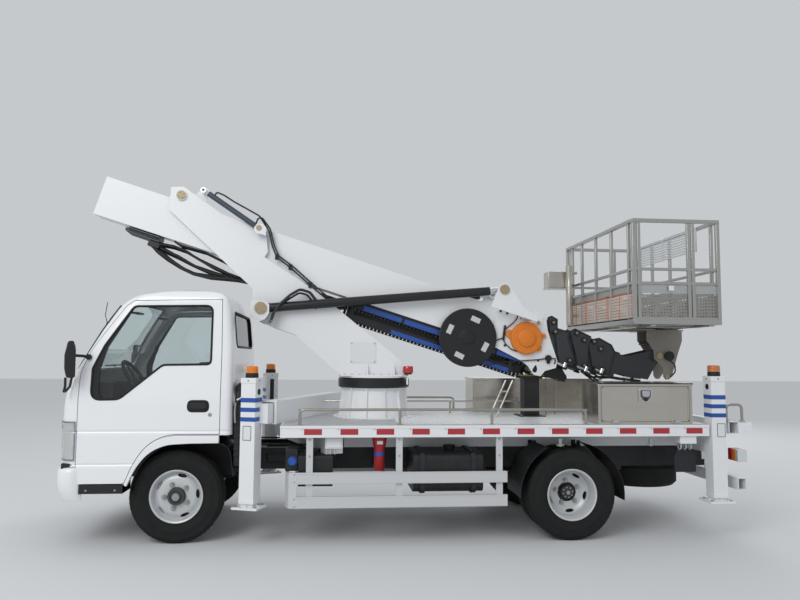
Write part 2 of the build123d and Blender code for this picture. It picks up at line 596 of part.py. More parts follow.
for s in (-1, 1):
    ear = side_plate([(520, 1960), (545, 1905), (600, 1880), (655, 1905), (690, 1960), (690, 2040), (650, 2075),
                      (520, 2075)], *yy(s, 288, 304))
    web = bx(520, 540, *yy(s, 170, 304), 1930, 2075)
    pin = rod_y(*LUFF_FOOT, 29.7, s * 170, s * 306) + rod_y(*LUFF_FOOT, 42, s * 304, s * 316)
    boss = rod_y(*PIVOT, 50, s * 178, s * 196) + rod_y(*PIVOT, 60, s * 145, s * 161)
    turret = turret + ear + web + pin + boss
level_lug = side_plate([(530, 2770), (530, 2740), (560, 2715), (640, 2700), (640, 2775), (600, 2810), (555, 2805)],
                       -262, -246)
level_web = bx(618, 636, -262, -170, 2700, 2778)
level_pin = rod_y(*LEVEL_FOOT, 16, -262, -170)
turret = turret + level_lug + level_web + level_pin
add("turret", turret)

# Boom sections nested inside each other
SECTIONS = [("boom_outer", -714, 3730, 140, -48, 8), ("boom_2", -560, 3990, 125, -63, 8),
            ("boom_3", -500, 4190, 110, -78, 8), ("boom_4", -440, 4560, 95, -93, 8)]
DEPTH = 375.0
PAD_GAP = 0.4
section_solids = {}
for i, (name, x0, x1, half, top, wall) in enumerate(SECTIONS):
    bottom = -48 - DEPTH + 15 * i + (28 if i == 3 else 0)
    tube = boom_tube(x0, x1, half, top, bottom, wall)
    if i < 3:
        reach = 15 - PAD_GAP
        tube = tube + boom_box(x1 - 90, x1 - 10, -60, 60, bottom + wall - 1, bottom + reach)
        tube = tube + boom_box(x1 - 90, x1 - 10, -half + wall - 1, -half + reach, bottom + 60, top - 60)
        tube = tube + boom_box(x1 - 90, x1 - 10, half - reach, half - wall + 1, bottom + 60, top - 60)
    section_solids[name] = tube

HEAD = [(3233, -134), (3233, -52), (3426, -52), (3426, -29), (3540, -36), (3548, 12), (3700, 25), (3771, -124),
        (3948, -376), (3953, -446), (3856, -508), (3830, -570), (3764, -578), (3680, -513), (3608, -486), (3260, -430)]
outer_boom = section_solids["boom_outer"]
for s in (-1, 1):
    outer_boom = outer_boom + boom_plate(HEAD, *yy(s, 138, 160))
outer_boom = outer_boom + boom_box(3700, 3730, -158, 158, -52, 20)
outer_boom = outer_boom + boom_box(3600, 3800, -158, 158, -475, -423)
outer_boom = outer_boom + boom_box(3764, 3830, -158, 158, -570, -470)
R_ALONG, R_UP = (LUFF_EYE[0] - PIVOT[0]), (LUFF_EYE[1] - PIVOT[1])
cd = math.cos(math.radians(BOOM_DROP))
sd = math.sin(math.radians(BOOM_DROP))
EYE = (R_ALONG * cd - R_UP * sd, R_ALONG * sd + R_UP * cd)
LUG = [(EYE[0] - 62, EYE[1] - 40), (EYE[0] - 62, EYE[1] + 30), (EYE[0] - 20, EYE[1] + 66), (EYE[0] + 40, EYE[1] + 60),
       (EYE[0] + 68, EYE[1] + 20), (3450, -10), (3600, -36), (3600, -90), (3420, -90), (3130, -90)]
for s in (-1, 1):
    lug = boom_plate(LUG, *yy(s, 288, 304))
    web = boom_box(3470, 3560, *yy(s, 150, 304), -90, -70)
    pin = rod_y(*LUFF_EYE, 42, s * 304, s * 314)
    outer_boom = outer_boom + lug + web + pin
ears = boom_plate([(-120, -50), (-60, 50), (-20, 62), (60, 55), (330, -50)], -140, -110) + \
    boom_plate([(-120, -50), (-60, 50), (-20, 62), (60, 55), (330, -50)], 110, 140)
ears = ears + rod_y(*PIVOT, 62, -145, -105) + rod_y(*PIVOT, 62, 105, 145)
level_arm = boom_plate([(60, -50), (150, 128), (185, 148), (222, 128), (240, -50)], -140, -124)
level_cross = rod_y(*LEVEL_EYE, 26, -192, -135)
level_arm = level_arm + level_cross
tail_cap = boom_box(-722, -714, -140, 140, -423, -48)
outer_boom = outer_boom + ears + level_arm + tail_cap
add("boom_outer", outer_boom)

# Collar plates of each section, welded to its sides
boom2 = section_solids["boom_2"] + boom_box(3968, 3990, -124, 124, -420, -400)
boom3 = section_solids["boom_3"]
boom4 = section_solids["boom_4"] + boom_box(4540, 4560, -95, 95, -350, -93) + rod_y(*NOSE_PIN, 30, -120, 120)
HUMP_2 = [(3740, 10), (3772, 33), (3836, 20), (3862, -66), (3862, -140), (3800, -120)]
COLLAR_2 = [(3862, -66), (3986, -66), (3996, -126), (4104, -280), (4117, -373), (3986, -400), (3930, -300), (3862, -140)]
COLLAR_3 = [(3996, -50), (4040, -13), (4220, -38), (4210, -121), (4258, -267), (4275, -380), (4190, -390), (4120, -260)]
COLLAR_4 = [(4205, -92), (4240, -60), (4310, -22), (4448, -48), (4500, -100), (4500, -340), (4440, -349), (4330, -330)]
NOSE = [(4500, -110), (4620, -110), (4750, -35), (4860, 30), (4915, 40), (4960, 10), (4965, -30), (4940, -128), (4910, -262),
        (4720, -290), (4500, -300)]
COLLAR = 9.0
add("boom_2", boom2)
add("boom_3", boom3)
for s in (-1, 1):
    boom4 = boom4 + boom_plate(NOSE, *yy(s, 70, 95))
    add("boom_2", boom_plate(HUMP_2, *yy(s, 125, 125 + COLLAR)), boom_plate(COLLAR_2, *yy(s, 125, 125 + COLLAR)))
    add("boom_3", boom_plate(COLLAR_3, *yy(s, 110, 110 + COLLAR)))
    add("boom_4", boom_plate(COLLAR_4, *yy(s, 95, 95 + COLLAR)))
add("boom_4", boom4)

# Cable tray under the boom, hose reel and end cover
tray = boom_box(1800, 3600, -120, 120, -442, -423) + boom_box(1800, 3600, -120, -112, -500, -441) + \
    boom_box(1800, 3600, 112, 120, -500, -441) + boom_box(1800, 3600, -120, 120, -505, -497)
tray = tray + boom_box(1830, 3560, -95, 95, -628, -560) + boom_box(1860, 1900, -95, 95, -562, -500) + \
    boom_box(3500, 3540, -95, 95, -562, -500)
add("cable_tray", tray)
reel = rod_y(2588, 1752, 265, -188, -162) + rod_y(2588, 1752, 90, -164, -140)
for k in range(4):
    a = math.radians(24 + 90 * k)
    cut = Pos(2588 + 185 * math.cos(a), -167, 1752 + 185 * math.sin(a)) * Rot(0, -math.degrees(a), 0) * Box(50, 60, 100)
    reel = reel - cut
cover = rod_y(3169, 1752, 140, -200, -160) + rod_y(3169, 1752, 77, -216, -199)
add("hose_reel", reel)
add("hose_reel", cover)


# Luff cylinders and levelling cylinder
def toward(p, q, d):
    n = math.hypot(q[0] - p[0], q[1] - p[1])
    return p[0] + (q[0] - p[0]) * d / n, p[1] + (q[1] - p[1]) * d / n


def cyl_pair(foot_pin, eye_pin, y, r, bore, barrel, rod_r, rod_start, eye_r, hole):
    reach = math.hypot(eye_pin[0] - foot_pin[0], eye_pin[1] - foot_pin[1])
    a = toward(foot_pin, eye_pin, eye_r * 0.6)
    b = toward(foot_pin, eye_pin, barrel)
    c = toward(foot_pin, eye_pin, eye_r * 0.6 + 60)
    g = toward(foot_pin, eye_pin, barrel - 50)
    solid = bar((a[0], y, a[1]), (b[0], y, b[1]), r) - bar((c[0], y, c[1]), (g[0], y, g[1]), bore)
    solid = solid - bar((g[0], y, g[1]), (b[0], y, b[1]), rod_r + 0.3)
    solid = solid + rod_y(*foot_pin, eye_r, y - r + 6, y + r - 6)
    solid = solid - rod_y(*foot_pin, hole, y - 100, y + 100)
    p = toward(foot_pin, eye_pin, rod_start)
    q = toward(foot_pin, eye_pin, reach - eye_r * 0.5)
    rod = bar((p[0], y, p[1]), (q[0], y, q[1]), rod_r) + rod_y(*eye_pin, eye_r * 0.75, y - r + 10, y + r - 10)
    rod = rod - rod_y(*eye_pin, hole * 0.8, y - 100, y + 100)
    return solid, rod


for s in (-1, 1):
    solid, rod = cyl_pair(LUFF_FOOT, LUFF_EYE, s * LUFF_Y, 43, 35, 2190, 28, 300, 60, 30)
    add("luff_barrels", solid)
    add("luff_rods", rod)
solid, rod = cyl_pair(LEVEL_FOOT, LEVEL_EYE, LEVEL_Y, 26, 19, 580, 13, 120, 34, 16)
add("level_barrel", solid)
add("level_rod", rod)

# Platform bracket, hinged on the boom nose
bracket = []
for s in (-1, 1):
    plate = side_plate([(4430, 1838), (4800, 1838), (4800, 1742), (4750, 1600), (4690, 1400), (4655, 1352), (4620, 1352),
                        (4598, 1380), (4590, 1480), (4505, 1560), (4500, 1640), (4430, 1742)], *yy(s, 101, 113))
    bracket.append(plate)
platform_bracket = bracket[0] + bracket[1] + bx(4430, SWING_X + 115, -113, 113, 1838, 1850)
platform_bracket = platform_bracket + rod_z(SWING_X, 0, 110, 1848, BASKET_Z[0]) - rod_y(*NOSE_PIN, 30.3, -130, 130)
add("platform_bracket", platform_bracket)


# Basket: floor, posts, rails, kick panels and control box
def basket():
    x0, x1 = BASKET_X
    z0, z1 = BASKET_Z
    h = BASKET_Y
    body = bx(x0, x1, -h, h, z0, z0 + 12) + bx(x0, x1, -h, -h + 40, z0, z0 + 52) + bx(x0, x1, h - 40, h, z0, z0 + 52)
    body = body + bx(x0, x0 + 40, -h, h, z0, z0 + 52) + bx(x1 - 40, x1, -h, h, z0, z0 + 52)
    r = 17
    xs = (x0 + r, x1 - r)
    ys = (-h + r, -h / 3, h / 3, h - r)
    for x in xs:
        for y in ys:
            body = body + bar((x, y, z0 + 40), (x, y, z1 - r), r)
    for y in (ys[0], ys[-1]):
        for x in (x0 + 62, x1 - 295, x1 - 255):
            body = body + bar((x, y, z0 + 40), (x, y, z1 - r), r)
        for z in (z1 - r, 2365, 2250):
            body = body + bar((xs[0] - r, y, z), (xs[1] + r, y, z), r)
    for x in xs:
        for z in (z1 - r, 2365, 2250):
            body = body + bar((x, -h, z), (x, h, z), r)
    panel = 3
    body = body + bx(x0 + r, x1 - r, -h + 14, -h + 14 + panel, z0 + 30, 2240)
    body = body + bx(x0 + r, x1 - r, h - 14 - panel, h - 14, z0 + 30, 2240)
    body = body + bx(x0 + 14, x0 + 14 + panel, -h + r, h - r, z0 + 30, 2150)
    body = body + bx(x1 - 14 - panel, x1 - 14, -h + r, h - r, z0 + 30, 2150)
    return body


cage = basket()
for k in range(9):
    z = 2425 + k * 38
    cage = cage + bx(BASKET_X[1] - 30, BASKET_X[1] - 24, -560, 800, z, z + 26)
for y in (-560, 120, 790):
    cage = cage + bx(BASKET_X[1] - 34, BASKET_X[1] - 17, y, y + 22, 2360, 2812)
cage = cage + bx(BASKET_X[0] - 210, BASKET_X[0] - 2, 610, 830, 2323, 2515)
cage = cage + bx(BASKET_X[0] - 100, BASKET_X[0] + 12, 700, 740, 2350, 2380)
cage = cage + rod_z(BASKET_X[0] - 54, 560, 40, 1919, 2575)
for z in (2240, 2355):
    cage = cage + bx(BASKET_X[0] - 54, BASKET_X[0] + 12, 545, 575, z, z + 26)
add("basket", cage)

os.makedirs(OUT, exist_ok=True)
for name, shapes in NODES.items():
    solids = []
    for shape in shapes:
        solids.extend(shape.solids())
    moved = [Pos(-MID, 0, 0) * s for s in solids]
    result = moved[0] if len(moved) == 1 else Compound(children=moved)
    result.label = name
    export_step(result, OUT + "/" + name + ".step")
    bb = result.bounding_box()
    print(name, len(solids), [round(v) for v in (bb.min.X, bb.max.X, bb.min.Y, bb.max.Y, bb.min.Z, bb.max.Z)],
          all(s.is_valid for s in solids))
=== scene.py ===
import bpy
import bmesh
import math
from mathutils import Matrix, Vector


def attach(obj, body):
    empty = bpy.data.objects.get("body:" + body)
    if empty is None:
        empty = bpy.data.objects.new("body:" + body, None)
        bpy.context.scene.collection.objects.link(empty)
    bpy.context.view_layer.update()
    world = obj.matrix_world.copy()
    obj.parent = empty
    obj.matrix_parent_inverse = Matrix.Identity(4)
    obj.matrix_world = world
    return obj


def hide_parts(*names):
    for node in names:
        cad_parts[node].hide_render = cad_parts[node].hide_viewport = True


# Truck drawing frame in millimetres: front axle at zero, front at minus X, left at minus Y, ground at zero
MID = 2010.0
WHEELBASE = 3360.0
AXLE_Z = 385.0
TYRE_R = 385.0
FRONT_Y = 695.0
TWIN_Y = (596.0, 828.0)
SLEW_X = 1690.0
BOOM_DROP = 17.5
PIVOT = (-164.0, 3077.0)
DECK_Z = 985.0
LEG_Y = 895.0
SIDES = ((-1, "left"), (1, "right"))

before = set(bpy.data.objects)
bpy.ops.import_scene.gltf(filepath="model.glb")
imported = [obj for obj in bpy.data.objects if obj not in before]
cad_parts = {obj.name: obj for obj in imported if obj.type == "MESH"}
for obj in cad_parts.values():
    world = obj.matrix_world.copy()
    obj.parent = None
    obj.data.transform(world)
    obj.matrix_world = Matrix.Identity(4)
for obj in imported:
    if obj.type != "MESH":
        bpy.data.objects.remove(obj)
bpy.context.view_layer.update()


# Finishes
def srgb(code):
    values = []
    for k in (0, 2, 4):
        v = int(code[k:k + 2], 16) / 255
        values.append(v / 12.92 if v <= 0.04045 else ((v + 0.055) / 1.055) ** 2.4)
    return (*values, 1.0)


def node(tree, kind, inputs=None, **settings):
    made = tree.nodes.new(kind)
    for key, value in settings.items():
        setattr(made, key, value)
    for socket, value in (inputs or {}).items():
        if isinstance(value, bpy.types.NodeSocket):
            tree.links.new(value, made.inputs[socket])
        else:
            made.inputs[socket].default_value = value
    return made


def finish(name, colour, rough, metal=0.0, more=None):
    mat = bpy.data.materials.new(name)
    mat.use_nodes = True
    shader = mat.node_tree.nodes["Principled BSDF"]
    shader.inputs["Base Color"].default_value = srgb(colour)
    shader.inputs["Roughness"].default_value = rough
    shader.inputs["Metallic"].default_value = metal
    for socket, value in (more or {}).items():
        shader.inputs[socket].default_value = value
    return mat


def soil(mat, low, high, scale, amount):
    # Road dust drawn coarser than it is, so that it shows
    tree = mat.node_tree
    shader = tree.nodes["Principled BSDF"]
    place = node(tree, "ShaderNodeTexCoord")
    noise = node(tree, "ShaderNodeTexNoise", {"Vector": place.outputs["Object"], "Scale": scale,
                                              "Detail": 5.0})
    blend = node(tree, "ShaderNodeMapRange", {"Value": noise.outputs["Fac"], "From Min": 0.4,
                                              "From Max": 0.75, "To Min": 0.0, "To Max": amount})
    mix = node(tree, "ShaderNodeMix", {"Factor": blend.outputs["Result"]}, data_type="RGBA")
    mix.inputs[6].default_value = srgb(low)
    mix.inputs[7].default_value = srgb(high)
    tree.links.new(mix.outputs[2], shader.inputs["Base Color"])


def rippled(mat, scale, height):
    # Thin sheet is never quite flat: a slow ripple in the surface bends what it mirrors
    tree = mat.node_tree
    place = node(tree, "ShaderNodeTexCoord")
    noise = node(tree, "ShaderNodeTexNoise", {"Vector": place.outputs["Object"], "Scale": scale,
                                              "Detail": 1.0})
    bump = node(tree, "ShaderNodeBump", {"Height": noise.outputs["Fac"], "Strength": height,
                                         "Distance": 0.02})
    tree.links.new(bump.outputs["Normal"], tree.nodes["Principled BSDF"].inputs["Normal"])


# Name, colour, roughness, metallic, slot in the record, further sockets
FINISHES = [
    # Tinted float glass of the rear pane: dark and clear
    ("smoke_glass", "3B4245", 0.0, 0.0, "glass", {"Transmission Weight": 0.7, "IOR": 1.45}),
    # Automotive float glass: faint blue-green
    ("cab_glass", "EAF2F2", 0.0, 0.0, "glass", {"Transmission Weight": 1.0, "IOR": 1.45}),
    # Moulded polycarbonate lens: nearly clear, thin, so it bends light little
    ("lamp_lens", "F6F8F8", 0.02, 0.0, "lamp", {"Transmission Weight": 0.96, "IOR": 1.3}),
    # Polycarbonate over a bright bowl: pale and glossy
    ("lamp_clear", "D5DADC", 0.08, 0.35, "lamp", {"Coat Weight": 1.0}),
    # Metallised lamp bowl: pale and soft
    ("bowl_silver", "EDEEEC", 0.35, 0.15, None, {}),
    # Satin chromed lamp surround
    ("lamp_bezel", "8F9497", 0.25, 0.7, None, {}),
    # Silvered mirror and reflector: sharp and bright
    ("mirror_silver", "D8DCDE", 0.05, 1.0, None, {}),
    # Baked cab enamel: cool white with a clear gloss
    ("cab_enamel", "E6E8EA", 0.28, 0.0, "cab_paint", {"Coat Weight": 0.4, "Coat Roughness": 0.08}),
    # Two-pack body enamel: white, a little flatter than the cab
    ("body_enamel", "E2E4E6", 0.36, 0.0, "body_white", {}),
    # Chassis paint: satin black over forged and pressed steel
    ("chassis_paint", "101113", 0.5, 0.0, "chassis_black", {}),
    # Cast iron and aluminium driveline: dull grey
    ("driveline_cast", "4A4C4E", 0.6, 0.3, "engine_grey", {}),
    # Vulcanised tyre rubber: dull, greyed by dust, its black deepened past rubber's own as painted shade
    # from the wheel arches
    ("tyre_rubber", "0E0F10", 0.85, 0.0, "tyre", {}),
    # Wheel enamel: silver grey with a little flake
    ("wheel_enamel", "C2C5C7", 0.4, 0.2, "rim_silver", {}),
    # Trim plastic: grained black polypropylene
    ("trim_black", "17181A", 0.55, 0.0, "black_plastic", {}),
    # Interior plastic and vinyl: dark, nearly matt
    ("cabin_vinyl", "2A2D30", 0.7, 0.0, "interior", {}),
    # Zinc-grey painted guards
    ("guard_enamel", "C6C8CA", 0.4, 0.1, "guard_paint", {}),
    # Rolled stainless sheet: mirrors softly, warm grey
    ("stainless_sheet", "C6C1B8", 0.22, 1.0, "stainless", {}),
    # Brushed stainless pipe of the deck rails
    ("rail_pipe", "A9A59C", 0.3, 0.9, "stainless", {}),
    # Ground hard chrome: bright with a soft edge
    ("hard_chrome", "D4D6D8", 0.12, 1.0, "chrome_rod", {}),
    # Cylinder enamel: gloss black barrels and the slate levelling barrel
    ("cylinder_black", "17191C", 0.3, 0.0, "chassis_black", {}),
    ("cylinder_slate", "3C4753", 0.4, 0.0, "chassis_black", {}),
    # Boom head enamel: black, semi-gloss
    ("head_black", "141516", 0.4, 0.0, "boom_black", {}),
    # Inner boom sections: graphite enamel under grease
    ("boom_graphite", "35373B", 0.5, 0.1, "boom_black", {}),
    # Bracket enamel: grey-brown
    ("bracket_enamel", "8A857D", 0.5, 0.0, "bracket_grey", {}),
    # Extruded sealing rubber: black, dull
    ("seal_rubber", "0E0F10", 0.65, 0.0, None, {}),
    # Vinyl stripe film: deep blue, satin
    ("stripe_blue", "1F4E9E", 0.4, 0.0, None, {}),
    # Reflective sheet: red under a clear film
    ("reflect_red", "A81F2B", 0.3, 0.0, None, {"Coat Weight": 0.5}),
    # Moulded lenses, amber and red: glossy
    ("beacon_amber", "E07B14", 0.25, 0.0, None, {"Coat Weight": 0.6}),
    ("lens_red", "B01C1E", 0.2, 0.0, None, {"Coat Weight": 0.8}),
    # Moulded orange cover: satin
    ("cover_orange", "DB7A1C", 0.42, 0.0, None, {}),
    # Turned bronze bush and brass fitting: dull gold
    ("bush_bronze", "A6967A", 0.45, 0.45, None, {}),
    ("brass_fitting", "938A78", 0.4, 0.7, None, {}),
    # Zinc-plated fixings: pale, slightly blurred
    ("zinc_plated", "A6A8A6", 0.35, 0.9, None, {}),
    # Drawn steel pipe: dark grey
    ("pipe_steel", "5B6066", 0.35, 0.8, None, {}),
    # Hose rubber, black and slate covers
    ("hose_rubber", "101112", 0.5, 0.0, None, {}),
    ("hose_slate", "20262C", 0.5, 0.0, None, {}),
    # PVC cable sheath: pale grey
    ("cable_pale", "B7BBBD", 0.5, 0.0, None, {}),
    # Moulded nylon chain: black, nearly matt
    ("chain_nylon", "101113", 0.6, 0.0, None, {}),
    # Stainless basket: polished tube, duller punched sheet, bright tread sheet
    ("basket_tube", "B4B4B0", 0.3, 0.95, None, {}),
    ("basket_sheet", "A09F9A", 0.36, 0.85, None, {}),
    ("tread_sheet", "C2C3C1", 0.36, 0.85, None, {}),
    # Primer on the basket's side frames: flat orange
    ("primer_orange", "B9714E", 0.55, 0.0, None, {}),
    # Aluminium slats: pale, and on the side slats a warm tint that is painted orange light bounced from the
    # frames behind
    ("slat_light", "CDD0D2", 0.45, 0.2, None, {}),
    ("slat_warm", "C9B6AB", 0.5, 0.2, None, {}),
    # Bare plate enamel: off-white
    ("plate_blank", "DADDDE", 0.45, 0.0, None, {}),
    # Rubber pad of the boom rest, olive with age
    ("pad_olive", "6E6A2E", 0.75, 0.0, None, {}),
    # Canister enamel: red, satin
    ("canister_red", "A3242A", 0.4, 0.0, None, {}),
    # Chequered deck sheet: pale, half metallic
    ("deck_chequer", "C3C8CC", 0.45, 0.35, None, {}),
    # Shade inside grating slots
    ("slot_shade", "4C5054", 0.7, 0.0, None, {}),
    # Latch: polished plate, and a bowl drawn flat whose darker colour is painted shade of its recess
    ("latch_polished", "D0D2D3", 0.15, 1.0, None, {}),
    ("latch_recess", "6C6A66", 0.3, 0.9, None, {}),
    # Strap paint: dark grey over steel
    ("strap_grey", "303336", 0.45, 0.5, None, {}),
]
MATS = {}
for name, colour, rough, metal, slot, more in FINISHES:
    MATS[name] = finish(name, colour, rough, metal, more)
# Dust mixed into three finishes; the tyre's darkest tone stays deeper than rubber's own black, painted
# shade from the arches
for name, low, high, scale, amount in (("chassis_paint", "101113", "2B2A28", 9.0, 0.4),
                                       ("driveline_cast", "3E4042", "5A5750", 12.0, 0.7),
                                       ("tyre_rubber", "0D0E0F", "1C1C1B", 14.0, 0.5)):
    soil(MATS[name], low, high, scale, amount)
rippled(MATS["stainless_sheet"], 2.8, 1.0)


# Places and turns
def moved(x, y, z):
    return Matrix.Translation((x, y, z))


def turned(degrees, axis):
    return Matrix.Rotation(math.radians(degrees), 4, axis)


def span(s, a, b):
    # The two ends of a width on side s, lower first
    return tuple(sorted((s * a, s * b)))


# Boom drawing: along the boom, across it, and up from its pivot
BF = moved(PIVOT[0], 0, PIVOT[1]) @ turned(BOOM_DROP, "Y")


def on_boom(along, across, up):
    return BF @ Vector((along, across, up))


# Mesh tools: each adds to a bmesh in truck millimetres
def block(bm, x0, x1, y0, y1, z0, z1, place=None):
    c = moved((x0 + x1) / 2, (y0 + y1) / 2, (z0 + z1) / 2)
    s = Matrix.Diagonal((abs(x1 - x0), abs(y1 - y0), abs(z1 - z0), 1))
    m = c @ s
    bmesh.ops.create_cube(bm, size=1, matrix=(place @ m) if place else m)


def rod(bm, p, q, r, sides=32, r_end=None):
    p = Vector(p)
    q = Vector(q)
    turn = (q - p).to_track_quat("Z", "Y").to_matrix().to_4x4()
    m = Matrix.Translation((p + q) / 2) @ turn
    bmesh.ops.create_cone(bm, cap_ends=True, segments=sides, radius1=r,
                          radius2=r if r_end is None else r_end, depth=(q - p).length, matrix=m)


def ball(bm, c, r, sides=24):
    bmesh.ops.create_uvsphere(bm, u_segments=sides, v_segments=sides // 2, radius=r,
                              matrix=Matrix.Translation(c))


def lathe(bm, profile, place, sides=64):
    # profile is (radius, along) pairs round the local Z axis of place
    rings = []
    for r, t in profile:
        if r < 1e-6:
            rings.append([bm.verts.new(place @ Vector((0, 0, t)))])
        else:
            turns = [2 * math.pi * k / sides for k in range(sides)]
            spots = [place @ Vector((r * math.cos(a), r * math.sin(a), t)) for a in turns]
            rings.append([bm.verts.new(spot) for spot in spots])
    for a, b in zip(rings, rings[1:] + rings[:1]):
        for k in range(sides):
            n = (k + 1) % sides
            if len(a) == 1 and len(b) == 1:
                continue
            if len(a) == 1:
                bm.faces.new((a[0], b[k], b[n]))
            elif len(b) == 1:
                bm.faces.new((a[k], a[n], b[0]))
            else:
                bm.faces.new((a[k], a[n], b[n], b[k]))


def prism(bm, points, t0, t1, plane="side", place=None):
    # side: points are (x, z) and t runs along y; end: points are (y, z) and t runs along x
    def spot(u, v, t):
        w = Vector((u, t, v)) if plane == "side" else Vector((t, u, v))
        return place @ w if place else w
    low = [bm.verts.new(spot(u, v, t0)) for u, v in points]
    high = [bm.verts.new(spot(u, v, t1)) for u, v in points]
    n = len(points)
    bm.faces.new(low)
    bm.faces.new(list(reversed(high)))
    for k in range(n):
        bm.faces.new((low[k], high[k], high[(k + 1) % n], low[(k + 1) % n]))


def sheet(bm, points, y0, y1, place=None):
    prism(bm, points, y0, y1, "side", place)


def rounded(points, radius, steps=5, closed=True):
    # Corners of a path turned into short arcs
    out = []
    n = len(points)
    dims = len(points[0])
    for k in range(n):
        if not closed and k in (0, n - 1):
            out.append(tuple(points[k]))
            continue
        p = Vector(points[k - 1])
        c = Vector(points[k])
        q = Vector(points[(k + 1) % n])
        r = radius[k] if isinstance(radius, (list, tuple)) else radius
        a = p - c
        b = q - c
        if r <= 0 or a.length < 1e-6 or b.length < 1e-6:
            out.append(tuple(c))
            continue
        angle = a.angle(b)
        if angle > math.radians(176):
            out.append(tuple(c))
            continue
        cut = min(r / math.tan(angle / 2), a.length * 0.48, b.length * 0.48)
        start = c + a.normalized() * cut
        end = c + b.normalized() * cut
        for s in range(steps + 1):
            t = s / steps
            out.append(tuple((start * (1 - t) ** 2 + c * 2 * t * (1 - t) + end * t ** 2)[:dims]))
    return out


def pipe(bm, points, r, sides=12, closed=False):
    pts = [Vector(p) for p in points]
    n = len(pts)
    rings = []
    normal = None
    for k in range(n):
        if closed:
            t = (pts[(k + 1) % n] - pts[k - 1]).normalized()
        elif k == 0:
            t = (pts[1] - pts[0]).normalized()
        elif k == n - 1:
            t = (pts[-1] - pts[-2]).normalized()
        else:
            t = ((pts[k + 1] - pts[k]).normalized() + (pts[k] - pts[k - 1]).normalized()).normalized()
        if normal is None:
            normal = t.orthogonal().normalized()
        else:
            normal = (normal - t * normal.dot(t)).normalized()
        side = t.cross(normal)
        rings.append([bm.verts.new(pts[k] + (normal * math.cos(a) + side * math.sin(a)) * r)
                      for a in (2 * math.pi * j / sides for j in range(sides))])
    for k in range(n if closed else n - 1):
        a = rings[k]
        b = rings[(k + 1) % n]
        shift = 0
        if closed and k == n - 1:
            shift = min(range(sides), key=lambda s: (a[0].co - b[s].co).length)
        for j in range(sides):
            i = (j + 1) % sides
            bm.faces.new((a[j], a[i], b[(i + shift) % sides], b[(j + shift) % sides]))
    if not closed:
        bm.faces.new(list(reversed(rings[0])))
        bm.faces.new(rings[-1])


def hose(bm, points, r, sides=14, bend=60):
    pipe(bm, rounded(points, bend, 5, closed=False), r, sides)


def screw(bm, p, q, r, head=4.0):
    # Hexagon head standing on p and pointing to q
    way = (Vector(q) - Vector(p)).normalized()
    rod(bm, p, Vector(p) + way * head, r, 6)


def ribbon(bm, path, thick, y0, y1):
    # Bent sheet: a drawn line given a thickness, across a width
    pts = [Vector(p) for p in path]
    rows = []
    for k, p in enumerate(pts):
        t = (pts[min(k + 1, len(pts) - 1)] - pts[max(k - 1, 0)]).normalized()
        n = Vector((-t.y, t.x)) * thick
        rows.append([bm.verts.new((q.x, y, q.y)) for q in (p, p + n) for y in (y0, y1)])
    for a, b in zip(rows, rows[1:]):
        for i, j in ((0, 1), (1, 3), (3, 2), (2, 0)):
            bm.faces.new((a[i], a[j], b[j], b[i]))
    for r in (rows[0], rows[-1]):
        bm.faces.new((r[0], r[1], r[3], r[2]))


# From drawing to finished piece
TO_METRES = Matrix.Scale(0.001, 4) @ moved(-MID, 0, 0)


def linked(name, data):
    obj = bpy.data.objects.new(name, data)
    bpy.context.scene.collection.objects.link(obj)
    return obj


def loose(bm):
    # A scratch object from a bmesh, in truck millimetres
    bmesh.ops.recalc_face_normals(bm, faces=bm.faces)
    me = bpy.data.meshes.new("unit")
    bm.to_mesh(me)
    bm.free()
    return linked("unit", me)


def twin(obj):
    return linked("twin", obj.data.copy())


def coat(me, mat, sharp):
    for poly in me.polygons:
        poly.use_smooth = True
    me.set_sharp_from_angle(angle=math.radians(sharp))
    me.materials.clear()
    me.materials.append(MATS[mat])


def soften(obj, width):
    mod = obj.modifiers.new("edge_radius", "BEVEL")
    mod.width = width / 1000
    mod.segments = 2
    mod.limit_method = "ANGLE"
    mod.angle_limit = math.radians(35)
    mod.use_clamp_overlap = True
    mod.harden_normals = False


def enrol(obj, body, edge, replaces):
    if edge:
        soften(obj, edge)
    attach(obj, body)
    if replaces:
        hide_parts(*replaces)


def piece(name, body, mat, bm, edge=0.0, smooth=35, replaces=()):
    # A bmesh in truck millimetres becomes a finished piece
    bmesh.ops.recalc_face_normals(bm, faces=bm.faces)
    bm.transform(TO_METRES)
    me = bpy.data.meshes.new(name)
    bm.to_mesh(me)
    bm.free()
    coat(me, mat, smooth)
    enrol(linked(name, me), body, edge, replaces)


def keep(obj, name, mat, body, replaces=()):
    # A carved scratch object becomes a finished piece
    obj.data.transform(TO_METRES)
    coat(obj.data, mat, 30)
    obj.name = name
    enrol(obj, body, 0.0, replaces)


def carve(obj, cutters, how="DIFFERENCE"):
    for cutter in cutters:
        mod = obj.modifiers.new("cut", "BOOLEAN")
        mod.operation = how
        mod.solver = "MANIFOLD"
        mod.object = cutter
    graph = bpy.context.evaluated_depsgraph_get()
    me = bpy.data.meshes.new_from_object(obj.evaluated_get(graph))
    obj.modifiers.clear()
    old = obj.data
    obj.data = me
    bpy.data.meshes.remove(old)
    for cutter in cutters:
        bpy.data.objects.remove(cutter)
    return obj


